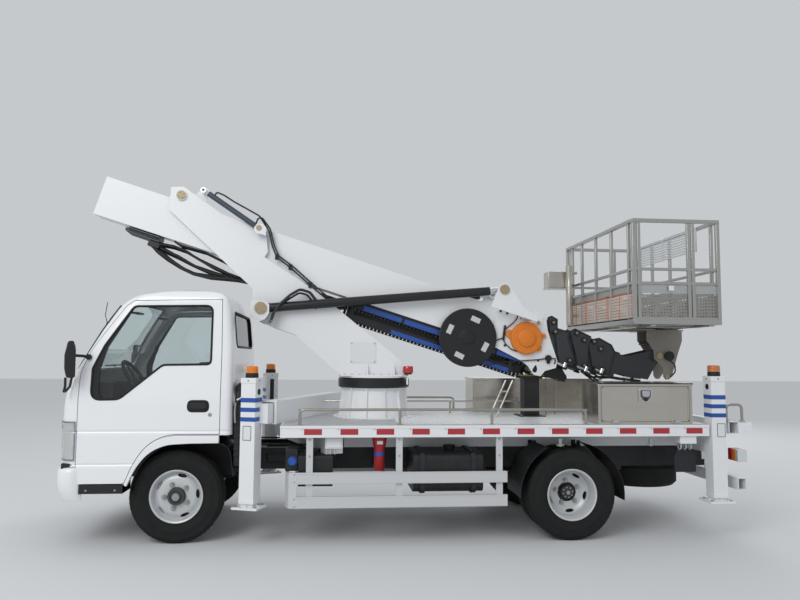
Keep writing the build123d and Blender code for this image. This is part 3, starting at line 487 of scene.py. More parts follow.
# CAD nodes that keep their own shape: finish, edge radius, nodes
DRESS = [
    ("chassis_paint", 2.0, "chassis_frame knuckle_left knuckle_right boom_rest"),
    ("chassis_paint", 1.5, "leaf_springs"),
    ("chassis_paint", 3.0, "axles tanks"),
    ("driveline_cast", 6.0, "powertrain"),
    ("cabin_vinyl", 0, "cab_interior"),
    ("lamp_clear", 3.0, "lamps"),
    ("trim_black", 3.0, "cab_steps"),
    ("trim_black", 0, "rear_mudguards"),
    ("tyre_rubber", 0, "spare_wheel"),
    ("guard_enamel", 2.0, "side_guards"),
    ("stainless_sheet", 2.0, "toolbox toolbox_door far_boxes"),
    ("body_enamel", 1.5, "deck"),
    ("body_enamel", 2.0, "sub_frame pedestal tail_frame"),
    ("body_enamel", 3.0, "outrigger_boxes outrigger_front_left outrigger_front_right turret"),
    ("body_enamel", 3.0, "outrigger_rear_left outrigger_rear_right"),
    ("body_enamel", 3.0, "foot_front_left foot_front_right foot_rear_left foot_rear_right"),
    ("body_enamel", 4.0, "boom_outer"),
    ("boom_graphite", 4.0, "boom_2 boom_3 boom_4"),
    ("head_black", 2.0, "cable_tray"),
    ("head_black", 3.0, "hose_reel"),
    ("cylinder_black", 0, "luff_barrels"),
    ("cylinder_slate", 0, "level_barrel"),
    ("hard_chrome", 0, "luff_rods level_rod"),
    ("bracket_enamel", 3.0, "platform_bracket"),
]
for mat, edge, names in DRESS:
    for name in names.split():
        coat(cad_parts[name].data, mat, 32)
        if edge:
            soften(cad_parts[name], edge)


# Repeats: one small tree for a ring, one for rows, one for a path
def new_tree(name, inputs):
    tree = bpy.data.node_groups.new(name, "GeometryNodeTree")
    tree.interface.new_socket("Geometry", in_out="OUTPUT", socket_type="NodeSocketGeometry")
    for label, kind in inputs:
        tree.interface.new_socket(label, in_out="INPUT", socket_type=kind)
    return tree, node(tree, "NodeGroupInput").outputs


def end_tree(tree, instances, finish_socket):
    real = node(tree, "GeometryNodeRealizeInstances", {0: instances})
    done = node(tree, "GeometryNodeSetMaterial", {"Geometry": real.outputs[0], "Material": finish_socket})
    node(tree, "NodeGroupOutput", {0: done.outputs[0]})
    return tree


def ring_tree():
    tree, given = new_tree("parts_in_a_ring", [("Unit", "NodeSocketObject"), ("Count", "NodeSocketInt"),
                                               ("Start", "NodeSocketFloat"),
                                               ("Finish", "NodeSocketMaterial")])
    unit = node(tree, "GeometryNodeObjectInfo", {"Object": given["Unit"]})
    line = node(tree, "GeometryNodeMeshLine", {"Count": given["Count"], "Offset": (0, 0, 0)})
    index = node(tree, "GeometryNodeInputIndex")
    step = node(tree, "ShaderNodeMath", {0: 2 * math.pi, 1: given["Count"]}, operation="DIVIDE")
    angle = node(tree, "ShaderNodeMath", {0: index.outputs[0], 1: step.outputs[0], 2: given["Start"]},
                 operation="MULTIPLY_ADD")
    turn = node(tree, "ShaderNodeCombineXYZ", {2: angle.outputs[0]})
    made = node(tree, "GeometryNodeInstanceOnPoints", {"Points": line.outputs[0],
                                                       "Instance": unit.outputs["Geometry"],
                                                       "Rotation": turn.outputs[0]})
    return end_tree(tree, made.outputs[0], given["Finish"])


def rows_tree():
    tree, given = new_tree("parts_in_rows", [("Unit", "NodeSocketObject"), ("Across", "NodeSocketInt"),
                                             ("Down", "NodeSocketInt"), ("Across Step", "NodeSocketVector"),
                                             ("Down Step", "NodeSocketVector"),
                                             ("Finish", "NodeSocketMaterial")])
    unit = node(tree, "GeometryNodeObjectInfo", {"Object": given["Unit"]})
    across = node(tree, "GeometryNodeMeshLine", {"Count": given["Across"], "Offset": given["Across Step"]})
    down = node(tree, "GeometryNodeMeshLine", {"Count": given["Down"], "Offset": given["Down Step"]})
    row = node(tree, "GeometryNodeInstanceOnPoints", {"Points": across.outputs[0],
                                                      "Instance": unit.outputs["Geometry"]})
    grid = node(tree, "GeometryNodeInstanceOnPoints", {"Points": down.outputs[0],
                                                       "Instance": row.outputs[0]})
    return end_tree(tree, grid.outputs[0], given["Finish"])


def path_tree():
    tree, given = new_tree("parts_on_a_path", [("Path", "NodeSocketObject"), ("Unit", "NodeSocketObject"),
                                               ("Spacing", "NodeSocketFloat"),
                                               ("Finish", "NodeSocketMaterial")])
    path = node(tree, "GeometryNodeObjectInfo", {"Object": given["Path"]})
    unit = node(tree, "GeometryNodeObjectInfo", {"Object": given["Unit"]})
    curve = node(tree, "GeometryNodeMeshToCurve", {"Mesh": path.outputs["Geometry"]})
    points = node(tree, "GeometryNodeCurveToPoints", {"Curve": curve.outputs[0],
                                                      "Length": given["Spacing"]}, mode="LENGTH")
    made = node(tree, "GeometryNodeInstanceOnPoints", {"Points": points.outputs["Points"],
                                                       "Instance": unit.outputs["Geometry"],
                                                       "Rotation": points.outputs["Rotation"]})
    return end_tree(tree, made.outputs[0], given["Finish"])


TREES = {"ring": ring_tree(), "rows": rows_tree(), "path": path_tree()}


def repeat(kind, unit, mat, **values):
    host = linked("host", bpy.data.meshes.new("host"))
    mod = host.modifiers.new("repeat", "NODES")
    mod.node_group = TREES[kind]
    values.update(Unit=unit, Finish=MATS[mat])
    for item in TREES[kind].interface.items_tree:
        if item.in_out == "INPUT":
            mod[item.identifier] = values[item.name.replace(" ", "_")]
    graph = bpy.context.evaluated_depsgraph_get()
    made = bpy.data.meshes.new_from_object(host.evaluated_get(graph))
    for scrap in (host, unit, values.get("Path")):
        if scrap:
            bpy.data.objects.remove(scrap)
    return made


def add_mesh(bm, me, place=None):
    first = len(bm.verts)
    bm.from_mesh(me)
    bm.verts.ensure_lookup_table()
    if place:
        bmesh.ops.transform(bm, matrix=place, verts=bm.verts[first:])
    bpy.data.meshes.remove(me)


def set_ring(bm, unit, mat, count, start, place):
    add_mesh(bm, repeat("ring", loose(unit), mat, Count=count, Start=start), place)


def set_rows(bm, unit, mat, across, down, across_step, down_step, place):
    add_mesh(bm, repeat("rows", loose(unit), mat, Across=across, Down=down, Across_Step=across_step,
                        Down_Step=down_step), place)


# Wheels
def outward(x, y, side):
    return moved(x, y, AXLE_Z) @ turned(-90 * side, "X")


TYRE_HALF = [(209, 72), (214, 79), (228, 82), (238, 85), (262, 94), (282, 98), (288, 101), (294, 99),
             (318, 100), (344, 96), (350, 98), (356, 93), (372, 87), (380, 80), (384, 72)]
GROOVES = (42, 0, -42)
LUGS = 54


def tyre_profile():
    out = list(TYRE_HALF)
    for mid in GROOVES:
        out += [(TYRE_R, mid + 6), (TYRE_R - 10, mid + 4), (TYRE_R - 10, mid - 4), (TYRE_R, mid - 6)]
    out += [(r, -t) for r, t in reversed(TYRE_HALF)]
    out += [(209, -60), (TYRE_R - 40, -70), (TYRE_R - 40, 70), (209, 60)]
    return out


def tyre(bm, x, y, side):
    place = outward(x, y, side)
    lathe(bm, tyre_profile(), place, 96)
    for s in (-1, 1):
        lug = bmesh.new()
        outline = [(372, s * 84), (386, s * 70), (385, s * 50), (370, s * 52), (352, s * 96), (358, s * 95)]
        prism(lug, outline, -9, 9)
        set_ring(bm, lug, "tyre_rubber", LUGS, 0.03 * s, place)


# Rim sections: radius, distance outward from the tyre centre
FRONT_DISC = [(74, 60), (92, 61), (146, 62), (158, 57), (186, 36), (195, 38), (195, 28), (184, 26),
              (156, 47), (144, 52), (74, 50)]
OUTER_DISC = [(84, -64), (100, -62), (138, -62), (150, -57), (172, -36), (195, -34), (195, -44), (176, -48),
              (152, -68), (138, -74), (84, -74)]
INNER_DISC = [(92, 66), (140, 66), (156, 58), (174, 40), (195, 34), (195, 44), (176, 50), (150, 70),
              (140, 78), (92, 78)]
BARREL = [(209, 76), (216, 83), (221, 89), (217, 92), (205, 86), (201, 70), (192, 50), (188, 30),
          (188, -30), (192, -50), (201, -70), (205, -86), (217, -92), (221, -89), (216, -83), (209, -76),
          (208, -60), (195, -28), (195, 28), (208, 60)]
WHEEL_HOLES = 5


def disc(profile, slot_r, slot_t, start):
    # Wheel disc with long holes: slot_r is how far out they are, slot_t their place along the axle
    bm = bmesh.new()
    lathe(bm, profile, Matrix.Identity(4), 72)
    body = loose(bm)
    cutters = []
    for k in range(WHEEL_HOLES):
        cut = bmesh.new()
        rod(cut, (slot_r, 0, slot_t - 60), (slot_r, 0, slot_t + 60), 14, 24)
        turn = Matrix.Rotation(start + 2 * math.pi * (k + 0.5) / WHEEL_HOLES, 4, "Z")
        cut.transform(turn @ moved(slot_r, 0, 0) @ Matrix.Diagonal((1, 2.7, 1, 1)) @ moved(-slot_r, 0, 0))
        cutters.append(loose(cut))
    carve(body, cutters)
    me = body.data.copy()
    bpy.data.objects.remove(body)
    return me


def nuts(bm, base, start, place):
    # Wheel nuts with stud ends and washers, standing on base
    unit = bmesh.new()
    rod(unit, (102, 0, base), (102, 0, base + 18), 17, 6)
    rod(unit, (102, 0, base + 18), (102, 0, base + 28), 9, 12)
    rod(unit, (102, 0, base - 3), (102, 0, base + 4), 23, 20)
    set_ring(bm, unit, "zinc_plated", WHEEL_HOLES, start, place)


for s, side in SIDES:
    body = "wheel_front_" + side
    place = outward(0, s * FRONT_Y, s)
    bm = bmesh.new()
    tyre(bm, 0, s * FRONT_Y, s)
    piece("tyre_front_" + side, body, "tyre_rubber", bm, replaces=["front_tyre_" + side])
    bm = bmesh.new()
    lathe(bm, BARREL, place, 72)
    add_mesh(bm, disc(FRONT_DISC, 170, 40, 0.716), place)
    piece("wheel_front_dish_" + side, body, "wheel_enamel", bm, replaces=["front_rim_" + side])
    bm = bmesh.new()
    nuts(bm, 60, 0.716, place)
    lathe(bm, [(0, 94), (33, 94), (35, 98), (34, 112), (28, 119), (0, 121)], place, 40)
    piece("wheel_front_nuts_" + side, body, "zinc_plated", bm)
    bm = bmesh.new()
    lathe(bm, [(0, -80), (183, -80), (183, 0), (150, 10), (100, 30), (72, 34), (72, 92), (68, 98), (52, 98),
               (46, 90), (0, 90)], place, 56)
    piece("wheel_front_hub_" + side, body, "driveline_cast", bm)
    body = "wheel_rear_" + side
    bm = bmesh.new()
    tyre(bm, WHEELBASE, s * TWIN_Y[0], s)
    tyre(bm, WHEELBASE, s * TWIN_Y[1], s)
    piece("tyres_rear_" + side, body, "tyre_rubber", bm, replaces=["rear_tyres_" + side])
    bm = bmesh.new()
    near = outward(WHEELBASE, s * TWIN_Y[1], s)
    far = outward(WHEELBASE, s * TWIN_Y[0], s)
    lathe(bm, BARREL, near, 72)
    lathe(bm, BARREL, far, 72)
    add_mesh(bm, disc(OUTER_DISC, 161, -48, 0.43), near)
    add_mesh(bm, disc(INNER_DISC, 161, 48, 0.43), far)
    piece("wheel_rear_dishes_" + side, body, "wheel_enamel", bm, replaces=["rear_rims_" + side])
    bm = bmesh.new()
    nuts(bm, -62, 0.43, near)
    unit = bmesh.new()
    rod(unit, (43, 0, -36), (43, 0, -26), 7, 6)
    set_ring(bm, unit, "zinc_plated", 8, 0.2, near)
    lathe(bm, [(0, -36), (20, -36), (22, -24), (17, -12), (0, -10)], near, 32)
    piece("wheel_rear_nuts_" + side, body, "zinc_plated", bm)
    bm = bmesh.new()
    lathe(bm, [(0, -140), (183, -140), (183, -100), (57, -96), (57, -38), (53, -34), (0, -34)], near, 48)
    lathe(bm, [(0, -100), (150, -100), (150, 60), (90, 76), (90, 120), (0, 120)], far, 56)
    piece("wheel_rear_hub_" + side, body, "driveline_cast", bm)


# Cab skin by height: front edge, rear edge and half width, each from a rounded drawing line
CAB_LOW, CAB_TOP = 507.0, 2127.0
CAB_LINE = rounded([(-950, 400), (-952, 655), (-964, 1020), (-956, 1200), (-902, 1385), (-682, 1775),
                    (-542, 1990), (-434, 2072), (-205, 2116), (60, 2128), (310, 2112), (382, 2070),
                    (412, 1960), (442, 1640), (455, 1000), (455, 400)],
                   [0, 200, 500, 500, 700, 900, 900, 500, 900, 900, 300, 160, 500, 900, 900, 0], 8,
                   closed=False)
CAB_WIDTH = rounded([(878, 400), (878, 1190), (806, 2100), (640, 2138), (0, 2150)], [0, 500, 130, 800, 0],
                    8, closed=False)


def level_of(line, z, front):
    # Where a drawing line crosses a height, the foremost or the rearmost place
    best = None
    for p, q in zip(line, line[1:]):
        lo, hi = (p, q) if p[1] <= q[1] else (q, p)
        if lo[1] <= z <= hi[1] and hi[1] - lo[1] > 1e-6:
            x = lo[0] + (hi[0] - lo[0]) * (z - lo[1]) / (hi[1] - lo[1])
            if best is None or (x < best if front else x > best):
                best = x
    return best


def cab_half(z):
    half = level_of(CAB_WIDTH, z, False)
    for crease in (665, 933):
        half -= 5 * max(0.0, 1 - abs(z - crease) / 9)
    return half


def cab_outline(z, d):
    # Plan of the cab at a height, d inside its skin
    z = min(max(z, 410.0), CAB_TOP - 1)
    front = level_of(CAB_LINE, z, True) + d
    rear = level_of(CAB_LINE, z, False) - d
    half = cab_half(z) - d
    length = rear - front
    bulge = min(34.0, length * 0.2)
    rf = max(20.0, min(140.0 - d * 0.7, length * 0.3))
    rr = max(8.0, min(55.0 - d * 0.5, length * 0.15))
    side = []
    for k in range(9):
        y = (half - rf) * k / 8
        side.append((front + bulge * (y / half) ** 2, y))
    fx = side[-1][0]
    for k in range(1, 11):
        a = math.radians(8 + 82 * k / 10)
        side.append((fx + rf * (math.cos(math.radians(8)) - math.cos(a)), half - rf + rf * math.sin(a)))
    top = side[-1]
    for k in range(1, 13):
        side.append((top[0] + (rear - rr - top[0]) * k / 12, half))
    for k in range(1, 7):
        a = math.radians(90 * k / 6)
        side.append((rear - rr + rr * math.sin(a), half - rr + rr * math.cos(a)))
    for k in range(1, 6):
        side.append((rear, (half - rr) * (1 - k / 6)))
    return side + [(rear, 0)] + [(x, -y) for x, y in reversed(side[1:])]


def cab_body(d, low):
    # Solid cab from low to the roof, d inside its skin, with close levels at creases and roof edge
    levels = [low]
    z = low
    while z < 2000:
        z += 30 if z < 1960 else 16
        levels.append(z)
    levels += [656, 665, 674, 924, 933, 942]
    levels = sorted(v for v in levels if v < 2000)
    z = 2000
    for step in (14, 13, 12, 12, 11, 11, 10, 9, 8, 7, 6, 5, 4, 3, 2):
        levels.append(z)
        z += step
    levels.append(CAB_TOP - 0.5)
    bm = bmesh.new()
    rings = []
    for z in levels:
        lift = z - d if z > 1600 else z
        rings.append([bm.verts.new((x, y, lift)) for x, y in cab_outline(z, d * 0.98)])
    n = len(rings[0])
    for a, b in zip(rings, rings[1:]):
        for k in range(n):
            bm.faces.new((a[k], a[(k + 1) % n], b[(k + 1) % n], b[k]))
    bm.faces.new(list(reversed(rings[0])))
    bm.faces.new(rings[-1])
    return loose(bm)


def cab_layer(near, deep):
    # A thin layer of the cab skin between two depths
    return carve(cab_body(near, CAB_LOW - 40), [cab_body(deep, 300)])


def plate_solid(points, t0, t1, radius, plane="side", steps=6):
    bm = bmesh.new()
    prism(bm, rounded(points, radius, steps), t0, t1, plane)
    return loose(bm)


def shrink(points, d):
    # Moves each edge of a drawing inwards by d
    n = len(points)
    area = sum(points[k - 1][0] * points[k][1] - points[k][0] * points[k - 1][1] for k in range(n))
    turn = 1 if area > 0 else -1
    out = []
    for k in range(n):
        p, c, q = Vector(points[k - 1]), Vector(points[k]), Vector(points[(k + 1) % n])
        u, v = (c - p).normalized(), (q - c).normalized()
        nu, nv = Vector((-u.y, u.x)) * turn, Vector((-v.y, v.x)) * turn
        m = nu + nv
        m = m / max(0.3, m.length_squared / 2) if m.length > 1e-6 else nu
        out.append(tuple(c + m * d))
    return out


DOOR = [(-793, 507), (-793, 1192), (-789, 1418), (-726, 1601), (-550, 1845), (-455, 1978), (-391, 2024),
        (345, 2045), (356, 1600), (358, 1027), (358, 905), (-72, 905), (-230, 824), (-332, 680),
        (-402, 507)]
DOOR_R = [30, 60, 200, 400, 900, 120, 60, 8, 60, 60, 8, 900, 900, 900, 30]
WINDOW = [(-383, 1974), (265, 1987), (267, 1488), (-128, 1481), (-467, 1197), (-692, 1192), (-690, 1450),
          (-605, 1640)]
WINDOW_R = [60, 60, 40, 90, 110, 80, 60, 150]
WIND_HOLE = [(-720, 1425), (-735, 1500), (-650, 1990), (-560, 2035), (560, 2035), (650, 1990), (735, 1500),
             (720, 1425)]
BACK_HOLE = [(-580, 1670), (-580, 1900), (-530, 1948), (530, 1948), (580, 1900), (580, 1670), (530, 1640),
             (-530, 1640)]


def skin_y(x, z):
    # Half width of the cab skin at a place on its side
    best = 0.0
    ring = cab_outline(z, 0)
    for p, q in zip(ring, ring[1:]):
        if p[1] > 0 and min(p[0], q[0]) <= x <= max(p[0], q[0]) and abs(q[0] - p[0]) > 1e-6:
            t = (x - p[0]) / (q[0] - p[0])
            best = max(best, p[1] + (q[1] - p[1]) * t)
    return best


def skin_x(y, z, front=True):
    # Front or rear of the cab skin at a place across it
    ring = cab_outline(z, 0)
    best = None
    for p, q in zip(ring, ring[1:] + ring[:1]):
        if min(p[1], q[1]) <= y <= max(p[1], q[1]) and abs(q[1] - p[1]) > 1e-6:
            x = p[0] + (q[0] - p[0]) * (y - p[1]) / (q[1] - p[1])
            if best is None or (x < best if front else x > best):
                best = x
    return best


def dense(points, step):
    # Closed drawing with its long edges divided
    out = []
    n = len(points)
    for k in range(n):
        p, q = Vector(points[k]), Vector(points[(k + 1) % n])
        m = max(1, int((q - p).length / step))
        out += [tuple(p + (q - p) * i / m) for i in range(m)]
    return out


def cab():
    outer = cab_body(0, CAB_LOW)
    inner = cab_body(40, 300)
    wall = carve(twin(outer), [twin(inner)])
    layer = carve(cab_body(12, CAB_LOW), [cab_body(17, 300)])
    arch = [(-397, 300), (-397, 500), (-327, 674), (-226, 816), (-68, 902), (600, 902), (600, 300)]
    low_front = bmesh.new()
    block(low_front, -1200, -760, -1000, 1000, 300, 650)
    shell = carve(twin(wall), [plate_solid(arch, -1000, 1000, [0, 30, 900, 900, 900, 0, 0]),
                               loose(low_front), plate_solid(WIND_HOLE, -1200, -330, 60, "end"),
                               plate_solid(BACK_HOLE, 380, 600, 40, "end")])
    for s, side in SIDES:
        t0, t1 = span(s, 700, 1000)
        leaf = carve(twin(wall), [plate_solid(shrink(DOOR, 5.5), t0, t1, DOOR_R)], "INTERSECT")
        leaf = carve(leaf, [plate_solid(WINDOW, t0, t1, WINDOW_R)])
        keep(leaf, "door_skin_" + side, "cab_enamel", "door_%s_body" % side, replaces=["door_" + side])
        pane = carve(twin(layer), [plate_solid(shrink(WINDOW, -6), t0, t1, WINDOW_R)], "INTERSECT")
        keep(pane, "door_pane_" + side, "cab_glass", "door_%s_body" % side, replaces=["door_glass_" + side])
        shell = carve(shell, [plate_solid(DOOR, t0, t1, DOOR_R)])
    panes = carve(twin(layer), [plate_solid(shrink(WIND_HOLE, -8), -1200, -330, 60, "end")], "INTERSECT")
    keep(panes, "windscreen", "cab_glass", "base", replaces=["cab_glass"])
    panes = carve(twin(layer), [plate_solid(shrink(BACK_HOLE, -8), 380, 600, 40, "end")], "INTERSECT")
    keep(panes, "rear_pane", "smoke_glass", "base")
    keep(shell, "cab_skin", "cab_enamel", "base", replaces=["cab_shell"])
    for scrap in (outer, inner, wall, layer):
        bpy.data.objects.remove(scrap)
    bm = bmesh.new()
    block(bm, -880, 425, -820, 820, 925, 955)
    for s in (-1, 1):
        block(bm, -742, -734, *span(s, 360, 815), 520, 940)
        block(bm, -880, -740, *span(s, 362, 815), 652, 664)
    block(bm, -880, -872, -700, 700, 640, 930)
    piece("cab_floor", "base", "chassis_paint", bm, 2)
    for s, side in SIDES:
        seal = bmesh.new()
        path = [(x, s * (skin_y(x, z) - 2), z) for x, z in dense(rounded(WINDOW, WINDOW_R, 6), 40)]
        pipe(seal, path, 9, 8, closed=True)
        piece("door_window_seal_" + side, "door_%s_body" % side, "seal_rubber", seal)
    seal = bmesh.new()
    path = [(skin_x(y, z) + 3, y, z) for y, z in dense(rounded(WIND_HOLE, 60, 6), 40)]
    pipe(seal, path, 13, 8, closed=True)
    path = [(skin_x(y, z, False) - 3, y, z) for y, z in dense(rounded(BACK_HOLE, 40, 6), 40)]
    pipe(seal, path, 11, 8, closed=True)
    piece("cab_screen_seals", "base", "seal_rubber", seal)


cab()


# Basket of square stainless tube, standing on the swing support
BASKET_X = (3950.0, 4775.0)
BASKET_Y = 900.0
BASKET_Z = (1866.0, 2823.0)
MID_RAIL = 2365.0
STRIP = (2146.0, 2250.0)
PERF = (1925.0, 2137.0)
PITCH = 29.0
HOLE = 13.0


def panel(bm, axis, fixed, u0, u1, z0, z1):
    # Punched sheet along axis x or y: one small cell repeated, and a plain border round the field
    cell = bmesh.new()
    rings = {}
    for t in (-1, 1):
        for tag, w in (("out", PITCH / 2), ("in", HOLE / 2)):
            corners = [(-w, -w), (w, -w), (w, w), (-w, w)]
            rings[tag, t] = [cell.verts.new((u, t, v) if axis == "x" else (t, u, v)) for u, v in corners]
    for k in range(4):
        n = (k + 1) % 4
        for t in (-1, 1):
            cell.faces.new((rings["out", t][k], rings["out", t][n], rings["in", t][n], rings["in", t][k]))
        cell.faces.new((rings["in", -1][k], rings["in", -1][n], rings["in", 1][n], rings["in", 1][k]))
    across = int((u1 - u0) / PITCH)
    down = int((z1 - z0) / PITCH)
    a0 = u0 + (u1 - u0 - across * PITCH) / 2
    c0 = z0 + (z1 - z0 - down * PITCH) / 2
    a1 = a0 + across * PITCH
    c1 = c0 + down * PITCH
    first = (a0 + PITCH / 2, fixed) if axis == "x" else (fixed, a0 + PITCH / 2)
    step = (PITCH, 0, 0) if axis == "x" else (0, PITCH, 0)
    set_rows(bm, cell, "basket_sheet", across, down, step, (0, 0, PITCH), moved(*first, c0 + PITCH / 2))
    for a, b, c, d in ((u0, a0, z0, z1), (a1, u1, z0, z1), (a0, a1, z0, c0), (a0, a1, c1, z1)):
        if b - a > 0.5 and d - c > 0.5:
            if axis == "x":
                block(bm, a, b, fixed - 1, fixed + 1, c, d)
            else:
                block(bm, fixed - 1, fixed + 1, a, b, c, d)


def bars(bm, wide, high, place):
    # Raised bars of tread sheet, turned left and right by turns
    unit = bmesh.new()
    for u, v, turn in ((8, 8, 45), (18, 18, -45)):
        block(unit, -7, 7, -0.8, 0.8, -1.5, 1.5, moved(u, 0, v) @ turned(turn, "Y"))
    across = int((wide - 26) / 20) + 1
    down = int((high - 26) / 20) + 1
    set_rows(bm, unit, "tread_sheet", across, down, (20, 0, 0), (0, 0, 20), place)


def basket():
    x0, x1 = BASKET_X
    z0, z1 = BASKET_Z
    h = BASKET_Y
    w = 34.0
    ys = h - w / 2
    rails = (MID_RAIL, STRIP[1] - 12, z0 + w / 2 + 36)
    near_posts = (x0 + 17, x0 + 62, 4480, 4520, x1 - 17)
    bm = bmesh.new()
    for s in (-1, 1):
        for x in near_posts:
            v = 17 if x in (near_posts[0], near_posts[-1]) else 15
            block(bm, x - v, x + v, s * ys - v, s * ys + v, z0 + 46, z1 - w)
        block(bm, x0, x1, s * ys - 17, s * ys + 17, z1 - w, z1)
        for z in rails:
            block(bm, x0 + 34, x1 - 34, s * ys - 13, s * ys + 13, z - 13, z + 13)
    for x in (x0 + w / 2, x1 - w / 2):
        for y in (-780, -380, 20, 420, 720):
            block(bm, x - 14, x + 14, y - 14, y + 14, z0 + 46, z1 - w)
        block(bm, x - 17, x + 17, -ys + 17, ys - 17, z1 - w, z1)
        for z in rails:
            block(bm, x - 13, x + 13, -ys + 17, ys - 17, z - 13, z + 13)
    for y in (-600, -200, 200, 600):
        block(bm, x0 + 20, x1 - 20, y - 20, y + 20, z0 + 2, z0 + 38)
    for x in (x0 + 20, x1 - 20):
        block(bm, x - 20, x + 20, -h + 40, h - 40, z0 + 1, z0 + 47)
    for y in (-h + 20, h - 20):
        block(bm, x0, x1, y - 20, y + 20, z0 + 1, z0 + 48)
    piece("basket_tubes", "platform", "basket_tube", bm, 3, replaces=["basket"])
    bm = bmesh.new()
    for s in (-1, 1):
        for a, b in ((x0 + 78, 4464), (4536, x1 - 34)):
            panel(bm, "x", s * (ys - 6), a, b, *PERF)
    for a, b in ((-ys + 20, -395), (-365, 5), (35, 405), (435, ys - 20)):
        panel(bm, "y", x1 - 24, a, b, *PERF)
    piece("basket_perforated_sheet", "platform", "basket_sheet", bm)
    bm = bmesh.new()
    for s in (-1, 1):
        for a, b in ((x0 + 78, 4464), (4536, x1 - 34)):
            block(bm, a, b, *span(s, ys - 2, ys - 6), *STRIP)
            bars(bm, b - a, STRIP[1] - STRIP[0], moved(a, s * (ys - 1.4), STRIP[0]))
    for x, out in ((x0 + 24, -1), (x1 - 24, 1)):
        block(bm, x - 2, x + 2, -ys + 18, ys - 18, *STRIP)
        place = moved(x + 2.6 * out, -ys + 30, STRIP[0]) @ turned(90, "Z")
        bars(bm, 2 * ys - 60, STRIP[1] - STRIP[0], place)
    block(bm, x0 + 20, x1 - 20, -h + 20, h - 20, z0 + 38, z0 + 44)
    piece("basket_tread_sheet", "platform", "tread_sheet", bm)
    bm = bmesh.new()
    for a, b in ((-ys + 24, -300), (-280, 290), (310, ys - 24)):
        block(bm, x0 + 4, x0 + 10, a, b, PERF[0] - 20, PERF[0])
        block(bm, x0 + 4, x0 + 10, a, b, PERF[1] + 14, PERF[1] + 26)
        for y in (a, b - 14, (a + b) / 2 - 7):
            block(bm, x0 + 4, x0 + 10, y, y + 14, PERF[0] - 20, PERF[1] + 26)
    piece("basket_side_frames", "platform", "primer_orange", bm, 1)
    # Side slats carry a warm tint: painted orange light bounced from the frames beside them
    bm = bmesh.new()
    for k in range(8):
        z = PERF[0] + 4 + k * 27
        block(bm, x0 + 5, x0 + 9, -ys + 24, ys - 24, z, z + 21)
    piece("basket_side_slats", "platform", "slat_warm", bm, 0)
    bm = bmesh.new()
    for k in range(9):
        z = z1 - 236 + k * 26
        block(bm, x1 - 40, x1 - 35, -560, 800, z, z + 17)
    for y in (-560, 120, 790):
        block(bm, x1 - 42, x1 - 34, y, y + 22, z1 - 240, z1 - 6)
    piece("basket_side_louvres", "platform", "slat_light", bm, 1)
    bm = bmesh.new()
    rod(bm, (3868, 560, 1919), (3868, 560, 2575), 38, 40)
    for z in (2010, 2480):
        block(bm, 3868, x0 + 6, 545, 575, z, z + 30)
    block(bm, 3650, 3880, 610, 790, 2335, 2515)
    block(bm, 3640, 3890, 602, 798, 2326, 2336)
    block(bm, 3870, 3960, 700, 740, 2360, 2390)
    piece("basket_control_box", "platform", "stainless_sheet", bm, 4)
    bm = bmesh.new()
    for v, z in ((640, 2460), (680, 2460), (640, 2400), (680, 2400), (755, 2400)):
        rod(bm, (3878, v, z), (3904, v, z + 6), 7, 16)
        ball(bm, (3908, v, z + 7), 11, 16)
    piece("basket_levers", "platform", "trim_black", bm)
    bm = bmesh.new()
    rod(bm, (3878, 755, 2465), (3896, 755, 2465), 18, 24)
    piece("basket_stop_button", "platform", "lens_red", bm, 2)
    bm = bmesh.new()
    block(bm, 4280, 4330, -ys - 19, -ys - 16, 2170, 2215)
    piece("basket_blank_plate", "platform", "plate_blank", bm, 1)


basket()


# Cab trim
ARCH_LINER = [(-350, 430), (-345, 500), (-300, 630), (-212, 742), (-66, 828), (120, 846), (300, 848),
              (440, 800), (470, 560)]
WINDOW_EDGE = [(-379, 1964), (255, 1977), (257, 1498), (-131, 1491), (-469, 1210), (-634, 1206),
               (-630, 1445), (-577, 1626)]
FLARE = [(352, 899), (-68, 899), (-226, 818), (-328, 674), (-400, 496), (-380, 489), (-322, 626),
         (-241, 732), (-157, 792), (-60, 825), (119, 834), (352, 836)]
FLARE_R = [6, 900, 900, 900, 8, 8, 900, 900, 900, 900, 900, 6]
HANDLE = [(84, 1089), (84, 1192), (266, 1192), (266, 1089)]


